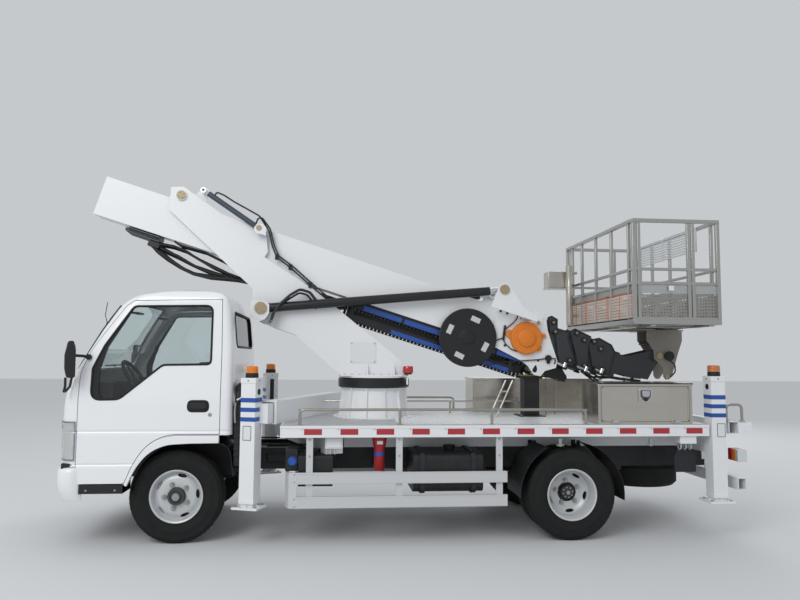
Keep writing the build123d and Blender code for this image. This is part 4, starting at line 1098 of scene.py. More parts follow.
def cab_trim():
    band_layer = carve(cab_body(2, CAB_LOW), [cab_body(13, 300)])
    for s, side in SIDES:
        t0, t1 = span(s, 700, 1000)
        band = carve(twin(band_layer), [plate_solid(shrink(WINDOW, 1.0), t0, t1, WINDOW_R)], "INTERSECT")
        band = carve(band, [plate_solid(WINDOW_EDGE, t0, t1, [50, 50, 34, 80, 90, 60, 60, 120])])
        keep(band, "door_window_band_" + side, "seal_rubber", "door_%s_body" % side)
        bm = bmesh.new()
        y = skin_y(170, 1143)
        sheet(bm, rounded(HANDLE, 46, 8), *span(s, y - 6, y + 1.5))
        piece("door_handle_cup_" + side, "door_%s_body" % side, "seal_rubber", bm, 2)
        bm = bmesh.new()
        sheet(bm, rounded([(100, 1118), (100, 1168), (250, 1168), (250, 1118)], 22, 6),
              *span(s, y + 3, y + 15))
        for x in (112, 238):
            rod(bm, (x, s * (y - 2), 1143), (x, s * (y + 8), 1143), 9, 16)
        piece("door_handle_" + side, "door_%s_body" % side, "trim_black", bm, 4)
        bm = bmesh.new()
        rod(bm, (273, s * (y - 4), 1070), (273, s * (y + 3), 1070), 16, 24)
        piece("door_lock_" + side, "door_%s_body" % side, "zinc_plated", bm, 1)
        bm = bmesh.new()
        sheet(bm, rounded(FLARE, FLARE_R, 6), *span(s, 838, 886))
        piece("arch_flare_" + side, "base", "cab_enamel", bm, 3)
        bm = bmesh.new()
        ribbon(bm, rounded(ARCH_LINER, 900, 6, closed=False), 5, *span(s, 414, 868))
        sheet(bm, rounded([(-330, 500), (-300, 640), (-200, 770), (-60, 840), (330, 850), (420, 700),
                           (420, 500)], 30, 4), *span(s, 410, 416))
        piece("arch_liner_" + side, "base", "trim_black", bm)
        bm = bmesh.new()
        block(bm, -796, -790, *span(s, 940, 1030), 1394, 1652)
        turn = moved(-830, s * 985, 0) @ turned(-22 * s, "Z") @ moved(830, -s * 985, 0)
        bm.transform(turn)
        piece("mirror_glass_" + side, "base", "mirror_silver", bm)
        bm = bmesh.new()
        head = rounded([(-848, 1674), (-808, 1674), (-790, 1600), (-788, 1378), (-850, 1374), (-868, 1450),
                        (-870, 1560)], [24, 18, 90, 18, 22, 90, 90], 5)
        sheet(bm, head, *span(s, 930, 1040))
        bm.transform(turn)
        pipe(bm, [(-835, s * 960, 1560), (-820, s * 930, 1556), (-770, s * 880, 1552),
                  (-716, s * 846, 1544)], 12, 12)
        rod(bm, (-728, s * 838, 1544), (-728, s * 866, 1544), 24, 20)
        hose(bm, [(-862, s * 975, 1378), (-862, s * 972, 1300), (-884, s * 940, 1262),
                  (-884, s * 900, 1262), (-862, s * 868, 1300), (-850, s * 862, 1390)], 10, 12, 30)
        piece("mirror_head_" + side, "base", "trim_black", bm, 4, replaces=["mirrors"] if s < 0 else [])
        bm = bmesh.new()
        block(bm, -760, -410, *span(s, 640, 872), 430, 506)
        piece("sill_step_face_" + side, "base", "trim_black", bm, 5)
        bm = bmesh.new()
        for x in (-700, -470):
            screw(bm, (x, s * 878, 460), (x, s * 890, 460), 9)
        piece("sill_screws_" + side, "base", "zinc_plated", bm)
    bpy.data.objects.remove(band_layer)
    bm = bmesh.new()
    for y0, y1 in ((-610, -60), (60, 610)):
        blade = [y0 + (y1 - y0) * k / 12 for k in range(13)]
        pipe(bm, [(skin_x(y, 1462) - 16, y, 1462) for y in blade], 7, 8)
        mid = (y0 + y1) / 2
        pivot = (skin_x(y1 - 30, 1400) - 8, y1 - 30, 1398)
        pipe(bm, [pivot, (pivot[0] - 14, y1 - 60, 1404), (skin_x(mid, 1462) - 24, mid, 1462)], 6, 8)
        rod(bm, (pivot[0] + 20, pivot[1], pivot[2] - 4), (pivot[0] - 14, pivot[1], pivot[2] + 4), 16, 20)
    piece("wipers", "base", "trim_black", bm)
    bm = bmesh.new()
    levels = (1500, 1545, 1640, 1760, 1880, 1985)
    pipe(bm, [(skin_x(-690, z) - 6 - (8 if 1540 < z < 1990 else 0), -690, z) for z in levels], 8, 8)
    spot = skin_x(-690, 1825)
    rod(bm, (spot + 10, -690, 1825), (spot - 18, -690, 1832), 15, 16)
    pipe(bm, [(spot - 14, -690, 1832), (spot - 30, -700, 1900), (spot - 10, -716, 2010)], 3.5, 6)
    piece("pillar_aerial", "base", "trim_black", bm)
    bm = bmesh.new()
    for z in (716, 756, 796, 836, 876):
        line = [(skin_x(y, z) - 2, y, z) for y in range(-470, 471, 47)]
        pipe(bm, line, 10, 8)
    for y in (-476, 0, 476):
        line = [(skin_x(y, z) - 2, y, z) for z in (700, 790, 893)]
        pipe(bm, line, 9, 8)
    piece("grille_bars", "base", "trim_black", bm)
    bm = bmesh.new()
    block(bm, -999, -993, -240, 240, 455, 560)
    piece("front_blank_plate", "base", "plate_blank", bm, 2)
    lamp_trim()


LAMP = [(560, 700), (930, 700), (930, 1015), (622, 1015), (546, 880)]


def lamp_trim():
    lens_skin = cab_layer(-9, -6.5)
    bowl_skin = cab_layer(-2, 2)
    edge_skin = cab_layer(-10, 4)
    for s, side in SIDES:
        line = [(s * y, z) for y, z in LAMP]
        lens = carve(twin(lens_skin), [plate_solid(shrink(line, 6), -1200, -806, 14, "end")], "INTERSECT")
        keep(lens, "headlamp_lens_" + side, "lamp_lens", "base", replaces=["lamps"] if s < 0 else [])
        bowl = carve(twin(bowl_skin), [plate_solid(shrink(line, 8), -1200, -810, 14, "end")], "INTERSECT")
        keep(bowl, "headlamp_bowl_" + side, "bowl_silver", "base")
        edge = carve(twin(edge_skin), [plate_solid(shrink(line, -1), -1200, -800, 18, "end")], "INTERSECT")
        edge = carve(edge, [plate_solid(shrink(line, 9), -1300, -808, 12, "end")])
        keep(edge, "headlamp_bezel_" + side, "lamp_bezel", "base")
        bm = bmesh.new()
        for z in (770, 880):
            spot = skin_x(s * 720, z) - 2
            aim = moved(spot, s * 720, z) @ turned(-90, "Y")
            lathe(bm, [(0, -1), (30, 0), (48, 2.5), (52, 3.5), (52, -2), (0, -2)], aim, 32)
        piece("headlamp_reflectors_" + side, "base", "mirror_silver", bm)
        bm = bmesh.new()
        aim = moved(skin_x(s * 800, 968) - 2, s * 800, 968) @ turned(-90, "Y")
        lathe(bm, [(0, 4), (12, 3), (19, -1), (19, -6), (0, -6)], aim, 28)
        piece("turn_bulb_" + side, "base", "beacon_amber", bm)
    for scrap in (lens_skin, bowl_skin, edge_skin):
        bpy.data.objects.remove(scrap)


cab_trim()


# Bumper: a shell round the front, tucked in toward its lower edge
BUMPER = [(-802, -905), (-866, -900), (-918, -876), (-948, -826), (-964, -745), (-978, -560), (-985, -300)]
BUMPER_LEVELS = ((374, 34), (386, 27), (470, 6), (530, 0), (604, 0), (626, 5), (640, 16), (646, 32))


def bumper():
    outer = BUMPER + [(x, -y) for x, y in reversed(BUMPER)]
    inner = [(x + 62, y * 0.94) for x, y in outer]
    rings = []
    bm = bmesh.new()
    for z, d in BUMPER_LEVELS:
        ring = [bm.verts.new((x + d, y * (1 - d / 905), z)) for x, y in outer]
        rings.append((ring, [bm.verts.new((x, y, z)) for x, y in inner]))
    for (lo, lo_in), (hi, hi_in) in zip(rings, rings[1:]):
        for k in range(len(outer) - 1):
            bm.faces.new((lo[k], hi[k], hi[k + 1], lo[k + 1]))
            bm.faces.new((lo_in[k + 1], hi_in[k + 1], hi_in[k], lo_in[k]))
        for k in (0, -1):
            ends = (lo[k], lo_in[k], hi_in[k], hi[k])
            bm.faces.new(ends if k == 0 else tuple(reversed(ends)))
    for (ring, ring_in), up in ((rings[0], False), (rings[-1], True)):
        for k in range(len(outer) - 1):
            quad = (ring[k], ring[k + 1], ring_in[k + 1], ring_in[k])
            bm.faces.new(tuple(reversed(quad)) if up else quad)
    piece("bumper_shell", "base", "cab_enamel", bm, 0, 50, replaces=["bumper"])
    # Black blocks behind and above the bumper's top edge: painted shade in the gap between bumper and cab
    bm = bmesh.new()
    for s in (-1, 1):
        block(bm, -935, -860, *span(s, 290, 350), 560, 640)
        block(bm, -905, -800, *span(s, 560, 870), 630, 676)
    block(bm, -935, -900, -560, 560, 630, 676)
    piece("bumper_gap", "base", "trim_black", bm, 2)


bumper()


# Air duct and pipes between cab and first leg
def cab_back():
    bm = bmesh.new()
    block(bm, 468, 536, -836, -430, 640, 1150)
    for k in range(9):
        block(bm, 464, 540, -841, -425, 668 + 52 * k, 684 + 52 * k)
    hose(bm, [(500, -800, 1140), (500, -800, 1230), (495, -720, 1290), (490, -560, 1300),
              (490, -400, 1240)], 34, 20, 90)
    piece("air_duct", "base", "trim_black", bm, 4)
    bm = bmesh.new()
    pipe(bm, [(478, -846, 1170), (474, -850, 1080), (480, -846, 1000)], 11, 12)
    rod(bm, (488, -846, 1188), (536, -846, 1212), 12, 14)
    piece("duct_catch", "base", "zinc_plated", bm)


cab_back()


# Deck rails: ends along, place across, foot, top, radius, further posts
HOOPS = ((1020, 3490, -918, DECK_Z, 1114, 12, (1862, 2657)), (1500, 2640, 918, DECK_Z, 1114, 12, (2060,)),
         (4787, 4933, -900, 1010, 1156, 12, ()))


def deck_hoops():
    bm = bmesh.new()
    for x0, x1, y, z0, z1, r, posts in HOOPS:
        pipe(bm, rounded([(x0, y, z0), (x0, y, z1), (x1, y, z1), (x1, y, z0)], 46, 6, closed=False), r, 16)
        for x in posts:
            rod(bm, (x, y, z0), (x, y, z1 - 4), r, 16)
        for x in (x0, x1, *posts):
            rod(bm, (x, y, z0), (x, y, z0 + 7), r * 2.3, 20)
    piece("deck_hoops", "base", "rail_pipe", bm, replaces=["deck_rails"])


deck_hoops()


# Deck edge with its red marks, tread pattern, grating, inner rail and ladder
MARK_X = 1131.0
MARK_STEP = 302.8
MARKS = 12


def deck_trim():
    for s, side in SIDES:
        bm = bmesh.new()
        unit = bmesh.new()
        block(unit, -74, 74, -1.2, 1.2, -24, 24)
        set_rows(bm, unit, "reflect_red", MARKS, 1, (MARK_STEP, 0, 0), (0, 0, 1),
                 moved(MARK_X, s * 946, 932))
        piece("deck_red_marks_" + side, "base", "reflect_red", bm)
        bm = bmesh.new()
        unit = bmesh.new()
        rod(unit, (0, 0, 0), (0, s * 3.5, 0), 5, 10)
        set_rows(bm, unit, "zinc_plated", MARKS, 1, (MARK_STEP, 0, 0), (0, 0, 1),
                 moved(MARK_X - 92, s * 945, 952))
        piece("deck_rivets_" + side, "base", "zinc_plated", bm)
        bm = bmesh.new()
        block(bm, 858, 4602, *span(s, 928, 949), 984, 991)
        block(bm, 858, 4602, *span(s, 943, 949), 962, 991)
        piece("deck_edge_" + side, "base", "body_enamel", bm, 2)
        bm = bmesh.new()
        for x in (3250, 4063):
            block(bm, x - 14, x + 14, *span(s, 925, 946), 800, 868)
            rod(bm, (x - 34, s * 938, 812), (x + 34, s * 938, 812), 8, 12)
        piece("deck_catches_" + side, "base", "zinc_plated", bm, 2)
        bm = bmesh.new()
        for x in (1105, 1858, 2720):
            for z in (728, 864):
                screw(bm, (x, s * 919, z), (x, s * 930, z), 8, 7)
        for z in (320, 380, 520, 580):
            screw(bm, (985, s * 936, z), (985, s * 950, z), 6)
        piece("guard_bolts_" + side, "base", "zinc_plated", bm)
        bm = bmesh.new()
        for z0, z1 in ((502, 596), (304, 400)):
            block(bm, 1004, 2782, *span(s, 939, 942), z0 + 4, z0 + 12)
            block(bm, 1004, 2782, *span(s, 939, 942), z1 - 12, z1 - 4)
            block(bm, 2776, 2784, *span(s, 918, 941), z0, z1)
        piece("guard_lips_" + side, "base", "guard_enamel", bm, 1)
    bm = bmesh.new()
    for turn, off in ((45, 0), (-45, 37)):
        unit = bmesh.new()
        block(unit, -13, 13, -3.5, 3.5, 0, 1.8)
        unit.transform(turned(turn, "Z"))
        place = moved(1905 + off, -880 + off, DECK_Z)
        set_rows(bm, unit, "deck_chequer", 36, 24, (74, 0, 0), (0, 74, 0), place)
    piece("deck_tread_pattern", "base", "deck_chequer", bm)
    bm = bmesh.new()
    for off in (0, 16):
        unit = bmesh.new()
        block(unit, -7, 7, -2.5, 2.5, 0, 0.8)
        set_rows(bm, unit, "slot_shade", 31, 54, (32, 0, 0), (0, 32, 0),
                 moved(884 + off, -860 + off, DECK_Z))
    piece("deck_grating_slots", "base", "slot_shade", bm)
    bm = bmesh.new()
    line = [(1022, DECK_Z), (1022, 1085), (1052, 1110), (3300, 1110), (3330, 1085), (3330, DECK_Z)]
    pipe(bm, [(x, 320, z) for x, z in line], 11, 12)
    for x in (1750, 2500):
        rod(bm, (x, 320, DECK_Z), (x, 320, 1110), 10, 14)
    for a, b in (((2971, -150, 1340), (2810, -150, 990)), ((3040, -150, 1340), (2880, -150, 990))):
        rod(bm, a, b, 10, 14)
    rod(bm, (2925, -150, 1230), (2995, -150, 1230), 8, 12)
    for x in (3455, 3545):
        rod(bm, (x, 120, DECK_Z), (x + 6, 120, 1700), 6, 10)
    piece("deck_inner_rail", "base", "stainless_sheet", bm)
    bm = bmesh.new()
    for x in (1020, 1862, 2657, 3490):
        rod(bm, (x, -918, DECK_Z), (x, -918, DECK_Z + 5), 26, 20)
        rod(bm, (x, -918, 1104), (x, -918, 1120), 14, 16)
    piece("deck_rail_flanges", "base", "zinc_plated", bm)


def box_trim():
    shield = [(3962, 1300), (4086, 1300), (4086, 1226), (4060, 1186), (4024, 1176), (3988, 1186),
              (3962, 1226)]
    bm = bmesh.new()
    sheet(bm, rounded(shield, 14, 4), -942, -936)
    for x in (3751, 4317):
        block(bm, x - 25, x + 25, -942, -939, 1006, 1024)
    piece("toolbox_latch_plate", "toolbox_lid", "latch_polished", bm, 2)
    # The latch bowl is a flat sheet; its darker colour paints the shade of the recess
    bm = bmesh.new()
    sheet(bm, rounded(shrink(shield, 15), 10, 4), -944, -940)
    piece("toolbox_latch_recess", "toolbox_lid", "latch_recess", bm, 1)
    bm = bmesh.new()
    sheet(bm, rounded([(3990, 1280), (4058, 1280), (4058, 1240), (4042, 1226), (4006, 1226), (3990, 1240)],
                      8, 3), -956, -943)
    piece("toolbox_latch_paddle", "toolbox_lid", "latch_polished", bm, 3)
    bm = bmesh.new()
    rod(bm, (4024, -943, 1204), (4024, -952, 1204), 17, 24)
    piece("toolbox_latch", "toolbox_lid", "trim_black", bm, 2)
    bm = bmesh.new()
    for x0, x1, z0, z1 in ((3630, 4422, 1016, 1026), (3630, 4422, 1300, 1310), (3630, 3640, 1016, 1310),
                           (4412, 4422, 1016, 1310)):
        block(bm, x0, x1, -933.5, -930, z0, z1)
    piece("toolbox_lid_press", "toolbox_lid", "stainless_sheet", bm, 1)
    bm = bmesh.new()
    block(bm, 3589, 4463, -938, -522, 1336, 1347)
    block(bm, 3589, 4463, -938, -934, 1326, 1347)
    block(bm, 3597, 3612, -934, -929, 985, 1330)
    block(bm, 4440, 4455, -934, -929, 985, 1330)
    piece("toolbox_roof", "base", "stainless_sheet", bm, 1.5)
    bm = bmesh.new()
    for x0, x1 in ((2780, 3345), (3510, 4200)):
        block(bm, x0 + 22, x1 - 22, 526, 530, 1010, 1316)
        block(bm, x0 + 22, x1 - 22, 930, 934, 1010, 1316)
        for y in (522, 934):
            block(bm, (x0 + x1) / 2 - 45, (x0 + x1) / 2 + 45, y, y + 4, 1180, 1290)
    piece("far_box_doors", "base", "stainless_sheet", bm, 2)
    bm = bmesh.new()
    sheet(bm, [(3124, 1382), (3366, 1382), (3366, 1396), (3346, 1396), (3340, 1391), (3150, 1391),
               (3144, 1396), (3124, 1396)], -122, 122)
    piece("boom_rest_pad", "base", "pad_olive", bm, 2)
    bm = bmesh.new()
    for x in (3140, 3360):
        for y in (-100, 100):
            screw(bm, (x, y, 994), (x, y, 1010), 12, 10)
    piece("boom_rest_bolts", "base", "zinc_plated", bm)


# What hangs under the deck
def frame_trim():
    bm = bmesh.new()
    block(bm, 1233, 1382, -868, -780, 782, 884)
    block(bm, 1244, 1371, -874, -866, 792, 876)
    block(bm, 4340, 4491, -925, -840, 816, 884)
    piece("valve_boxes", "base", "body_enamel", bm, 4)
    bm = bmesh.new()
    for x in (1246, 1280, 1314):
        rod(bm, (x, -850, 784), (x, -850, 736), 7, 12)
    for x in (4368, 4415, 4462):
        hose(bm, [(x, -880, 820), (x, -880, 770), (x + 20, -800, 750), (x + 30, -760, 800)], 7, 10, 30)
    piece("valve_box_cables", "base", "cable_pale", bm)
    bm = bmesh.new()
    for k, x in enumerate((1246, 1280, 1314)):
        hose(bm, [(x, -850, 738), (x + 2, -850, 690), (x + 30, -830, 640 - 14 * k), (x - 20, -700, 610),
                  (x - 60, -420, 640)], 4.5, 8, 60)
    piece("valve_box_leads", "base", "hose_rubber", bm)
    bm = bmesh.new()
    place = moved(1697, -800, 0)
    lathe(bm, [(0, 593), (42, 593), (46, 599), (46, 784), (56, 802), (60, 838), (65, 856), (62, 884),
               (0, 884)], place, 40)
    piece("canister_red", "base", "canister_red", bm)
    bm = bmesh.new()
    lathe(bm, [(44, 718), (47.5, 718), (47.5, 749), (44, 749)], place, 40)
    piece("canister_band", "base", "stripe_blue", bm)
    bm = bmesh.new()
    block(bm, 1672, 1722, -867, -862, 818, 846)
    piece("canister_blank_label", "base", "plate_blank", bm, 1)
    bm = bmesh.new()
    block(bm, 1660, 1724, -790, -342, 590, 600)
    for x in (2060, 2500):
        path = rounded([(x, -900, 402), (x, -900, 758), (x, -420, 758), (x, -420, 402)], 66, 6)
        for p, q in zip(path, path[1:] + path[:1]):
            d = Vector(q) - Vector(p)
            n = Vector((0, d.z, -d.y)).normalized() * 4
            prism(bm, [(p[1], p[2]), (q[1], q[2]), (q[1] + n.y, q[2] + n.z), (p[1] + n.y, p[2] + n.z)],
                  x - 20, x + 20, "end")
    piece("tank_straps", "base", "strap_grey", bm)
    bm = bmesh.new()
    rod(bm, (2330, -640, 744), (2330, -640, 770), 46, 32)
    rod(bm, (2330, -640, 768), (2330, -640, 784), 54, 20)
    piece("tank_cap", "base", "trim_black", bm, 3)
    bm = bmesh.new()
    rod(bm, (962, -858, 683), (962, -900, 683), 34, 6)
    rod(bm, (962, -858, 683), (962, -880, 683), 40, 24)
    piece("reservoir_cap", "base", "stripe_blue", bm, 3)
    bm = bmesh.new()
    block(bm, 900, 1010, -868, -700, 600, 790)
    rod(bm, (700, -300, 640), (1240, -300, 640), 70, 32)
    rod(bm, (2000, 200, 430), (2540, 200, 430), 85, 32)
    piece("service_reservoir", "base", "chassis_paint", bm, 10)
    bm = bmesh.new()
    hose(bm, [(1240, -300, 640), (1600, -260, 560), (2400, -150, 520), (3100, 180, 540), (3900, 260, 480),
              (4560, 420, 470)], 28, 20, 160)
    lathe(bm, [(0, -190), (60, -190), (90, -170), (96, -100), (96, 120), (90, 170), (60, 190), (0, 190)],
          moved(2100, -60, 490) @ turned(90, "Y"), 32)
    piece("exhaust", "base", "driveline_cast", bm)
    bm = bmesh.new()
    for k, (y, z) in enumerate(((-330, 760), (-322, 720), (330, 745), (326, 700))):
        line = [(500 + 40 * k, y, z), (1200, y, z - 6), (2100, y, z + 4), (3000, y, z - 5),
                (3900, y, z + 2), (4600, y, z)]
        pipe(bm, rounded(line, 200, 4, closed=False), 8, 10)
    piece("frame_lines", "base", "hose_rubber", bm)
    for s, side in SIDES:
        bm = bmesh.new()
        sheet(bm, [(4342, 552), (4342, 690), (4380, 760), (4500, 760), (4543, 690), (4543, 552)],
              *span(s, 800, 806))
        piece("rear_flap_plate_" + side, "base", "strap_grey", bm, 2)
        bm = bmesh.new()
        block(bm, 4905, 4987, *span(s, 700, 760), 646, 754)
        piece("tail_lens_red_" + side, "base", "lens_red", bm, 6)
        bm = bmesh.new()
        block(bm, 4905, 4987, *span(s, 770, 820), 646, 754)
        piece("tail_lens_amber_" + side, "base", "beacon_amber", bm, 6)
        bm = bmesh.new()
        block(bm, 4900, 4988, *span(s, 826, 872), 646, 754)
        piece("tail_lens_clear_" + side, "base", "lamp_clear", bm, 6)
    bm = bmesh.new()
    block(bm, 4938, 4944, -250, 250, 600, 712)
    block(bm, 4930, 4940, -40, 40, 700, 722)
    piece("rear_blank_plate", "base", "plate_blank", bm, 2)
    bm = bmesh.new()
    for x in range(700, 4500, 420):
        for s in (-1, 1):
            for dx, z in ((0, 640), (60, 640), (0, 700), (60, 700)):
                rod(bm, (x + dx, s * 344, z), (x + dx, s * 352, z), 9, 6)
    piece("frame_rivets", "base", "chassis_paint", bm)


# Outrigger legs: stripes, caps, beacons and blank signs
LEGS = (("front_left", 615, -1, 1375), ("front_right", 615, 1, 1375), ("rear_left", 4683, -1, 1405),
        ("rear_right", 4683, 1, 1405))
SWEEP = 19.6


def leg_trim():
    for tag, x, s, top in LEGS:
        body = "leg_" + tag
        front = tag.startswith("front")
        y = s * LEG_Y
        place = moved(x, y, 0) @ turned(s * SWEEP if front else 0, "Z") @ moved(-x, -y, 0)

        def fit(name, who, mat, bm, edge=0.0):
            bm.transform(place)
            piece(name + "_" + tag, who, mat, bm, edge)

        bm = bmesh.new()
        rise = 0 if front else 29
        for z0, z1 in ((1177, 1214), (1099, 1134), (1020, 1055)):
            block(bm, x - 66.5, x + 66.5, *span(s, 831, 961.5), z0 + rise, z1 + rise)
        fit("leg_stripes", body, "stripe_blue", bm)
        bm = bmesh.new()
        block(bm, x - 69, x + 69, *span(s, 826, 964), top - 42, top + 4)
        block(bm, x - 67.5, x + 67.5, *span(s, 827.5, 962.5), 350, 384)
        fit("leg_cap", body, "body_enamel", bm, 3)
        bm = bmesh.new()
        for dx in (-1, 1):
            rod(bm, (x + dx * 69, y, top - 19), (x + dx * 74, y, top - 19), 7, 12)
        rod(bm, (x, s * 963, top - 19), (x, s * 968, top - 19), 7, 12)
        rod(bm, (x, s * 827, top - 19), (x, s * 822, top - 19), 7, 12)
        fit("leg_cap_screws", body, "zinc_plated", bm)
        # A dark disc on the leg's face stands for a hole in it: painted shade
        bm = bmesh.new()
        face = x + 65 if front else x - 65
        z = 1262 if front else 1315
        rod(bm, (face - 3, y, z), (face + 3, y, z), 26, 28)
        fit("leg_hole", body, "seal_rubber", bm)
        bm = bmesh.new()
        x0, z0 = (x - 40, 866) if front else (x - 19, 878)
        block(bm, x0, x0 + 74, *span(s, 960, 962.2), z0, z0 + 118)
        fit("leg_blank_sign", body, "plate_blank", bm)
        bm = bmesh.new()
        for z in (z0, z0 + 114):
            block(bm, x0, x0 + 74, *span(s, 961, 962.8), z, z + 4)
        for k in (0, 70):
            block(bm, x0 + k, x0 + k + 4, *span(s, 961, 962.8), z0, z0 + 118)
        # A black strip down the leg's inner face stands for its open channel: partly the black hose inside,
        # partly painted shade of the channel
        block(bm, x - 21, x + 21, *span(s, 827, 829.6), 1004, top - 62)
        fit("leg_sign_edge", body, "trim_black", bm)
        bm = bmesh.new()
        spot = moved(x, y, top)
        lathe(bm, [(0, 2), (52, 2), (54, 6), (53, 38), (48, 44), (0, 44)], spot, 40)
        fit("beacon_base", body, "trim_black", bm)
        bm = bmesh.new()
        lathe(bm, [(0, 44), (49, 44), (50, 50), (49, 92), (42, 101), (0, 104)], spot, 40)
        fit("beacon_lens", body, "beacon_amber", bm)
        if not front:
            bm = bmesh.new()
            unit = bmesh.new()
            rod(unit, (52, 0, 44), (52, 0, 94), 1.6, 6)
            set_ring(bm, unit, "zinc_plated", 12, 0.1, spot)
            turns = [k * math.pi / 16 for k in range(32)]
            for z in (60, 78, 94):
                ring = [spot @ Vector((52 * math.cos(a), 52 * math.sin(a), z)) for a in turns]
                pipe(bm, ring, 1.6, 6, closed=True)
            fit("beacon_cage", body, "zinc_plated", bm)
        jack = "jack_" + tag
        bm = bmesh.new()
        for dx in (-85, 85):
            for dy in (-72, 72):
                screw(bm, (x + dx, y + dy, 325), (x + dx, y + dy, 340), 11, 9)
        fit("foot_bolts", jack, "zinc_plated", bm)
        bm = bmesh.new()
        for dx, dy in ((1, 0), (-1, 0), (0, 1), (0, -1)):
            a = (x + dx * 50, y + dy * 50, 326)
            b = (x + dx * 95, y + dy * 88, 326)
            c = (x + dx * 50, y + dy * 50, 349)
            n = Vector((dy, dx, 0)) * 4
            vs = [bm.verts.new(Vector(p) + n * k) for k in (-1, 1) for p in (a, b, c)]
            bm.faces.new(vs[:3])
            bm.faces.new(vs[3:])
            for i in range(3):
                j = (i + 1) % 3
                bm.faces.new((vs[i], vs[j], vs[3 + j], vs[3 + i]))
        fit("foot_ribs", jack, "body_enamel", bm)


# Slewing turret and its pedestal
def turret_trim():
    slew = moved(SLEW_X, 0, 0)
    bm = bmesh.new()
    lathe(bm, [(331, 1266), (345, 1280), (345, 1350), (332, 1364), (325, 1364), (325, 1266)], slew, 72)
    piece("slew_guard", "base", "head_black", bm)
    bm = bmesh.new()
    unit = bmesh.new()
    rod(unit, (368, 0, DECK_Z), (368, 0, DECK_Z + 16), 13, 6)
    lathe(bm, [(330, DECK_Z), (392, DECK_Z), (392, DECK_Z + 8), (330, DECK_Z + 8)], slew, 64)
    set_ring(bm, unit, "zinc_plated", 24, 0.13, slew)
    piece("pedestal_flange", "base", "body_enamel", bm)
    bm = bmesh.new()
    block(bm, 1454, 1699, -182.5, -178, 1501, 1700)
    piece("turret_blank_plate", "turntable", "plate_blank", bm, 2)
    bm = bmesh.new()
    for x in (1466, 1687):
        for z in (1513, 1688):
            rod(bm, (x, -182, z), (x, -186, z), 6, 12)
    for k in range(9):
        x = 1400 + 70 * k
        for y in (-188, 188):
            rod(bm, (x, y, 1383), (x, y, 1396), 11, 6)
    piece("turret_fixings", "turntable", "zinc_plated", bm)
    bm = bmesh.new()
    for s in (-1, 1):
        for x in (1616, 1870):
            prism(bm, [(s * 177, 1384), (s * 250, 1384), (s * 177, 1500)], x - 6, x + 6, "end")
        block(bm, 1362, 1995, *span(s, 176, 262), 1378, 1392)
    piece("turret_gussets", "turntable", "body_enamel", bm, 1)
    bm = bmesh.new()
    block(bm, 1985, 2001, -262, -238, 1300, 1400)
    block(bm, 1940, 2001, -262, -238, 1384, 1396)
    block(bm, 1940, 2001, -270, -160, 1378, 1386)
    piece("turret_lamp_bracket", "turntable", "body_enamel", bm, 2)
    bm = bmesh.new()
    lathe(bm, [(0, 0), (38, 0), (38, 14), (0, 14)], moved(2000, -250, 1396), 32)
    piece("turret_lamp_base", "turntable", "trim_black", bm)
    bm = bmesh.new()
    lathe(bm, [(0, 14), (48, 14), (50, 24), (50, 66), (44, 78), (0, 83)], moved(2000, -250, 1396), 32)
    piece("turret_lamp_lens", "turntable", "lens_red", bm)
    bm = bmesh.new()
    for s in (-1, 1):
        for (x, z), r, y in ((PIVOT, 42, 197), ((612, 2008), 56, 311)):
            rod(bm, (x, s * (y - 8), z), (x, s * (y + 8), z), r, 48)
            for k in range(4):
                a = k * math.pi / 2 + 0.5
                u = x + r * 0.6 * math.cos(a)
                v = z + r * 0.6 * math.sin(a)
                rod(bm, (u, s * (y + 7), v), (u, s * (y + 13), v), 6, 6)
    piece("turret_pins", "turntable", "bush_bronze", bm, 2)
    bm = bmesh.new()
    rod(bm, (575, -268, 2768), (575, -262, 2768), 26, 32)
    piece("level_foot_pin", "turntable", "bush_bronze", bm, 1)
    bm = bmesh.new()
    hose(bm, [(150, -215, 3066), (166, -215, 3110), (240, -215, 3080), (330, -215, 3022), (455, -215, 2955),
              (574, -215, 2890), (661, -196, 2757), (700, -191, 2600), (741, -191, 2503), (870, -191, 2406),
              (1061, -191, 2240), (1224, -191, 2108)], 8, 14, 80)
    hose(bm, [(540, -236, 2800), (560, -236, 2862), (600, -232, 2872), (676, -196, 2770), (718, -191, 2606),
              (760, -191, 2514), (886, -191, 2424), (1075, -191, 2258), (1236, -191, 2124)], 8, 12, 60)
    piece("levelling_hoses", "turntable", "hose_slate", bm)
    bm = bmesh.new()
    for x, z in ((1061, 2240), (870, 2406), (741, 2503)):
        block(bm, x - 16, x + 22, -194, -176, z - 26, z + 30)
    piece("hose_clips", "turntable", "trim_black", bm, 2)
    bm = bmesh.new()
    for s in (-1, 1):
        hose(bm, [(709, s * 290, 1896), (735, s * 290, 1971), (788, s * 288, 2047), (879, s * 284, 2133),
                  (971, s * 270, 2191), (1065, s * 250, 2164), (1122, s * 232, 2089),
                  (1151, s * 205, 2024)], 13, 14, 70)
        hose(bm, [(700, s * 262, 1880), (722, s * 262, 1960), (770, s * 262, 2025), (880, s * 260, 2105),
                  (965, s * 248, 2160), (1040, s * 232, 2140), (1095, s * 215, 2070),
                  (1120, s * 196, 2010)], 10, 12, 60)
    piece("luff_hoses", "turntable", "hose_slate", bm)
    bm = bmesh.new()
    for s in (-1, 1):
        for x, z in ((700, 1880), (709, 1896)):
            rod(bm, (x - 10, s * 276, z - 26), (x + 4, s * 276, z + 10), 15, 6)
    piece("luff_hose_unions", "turntable", "zinc_plated", bm)


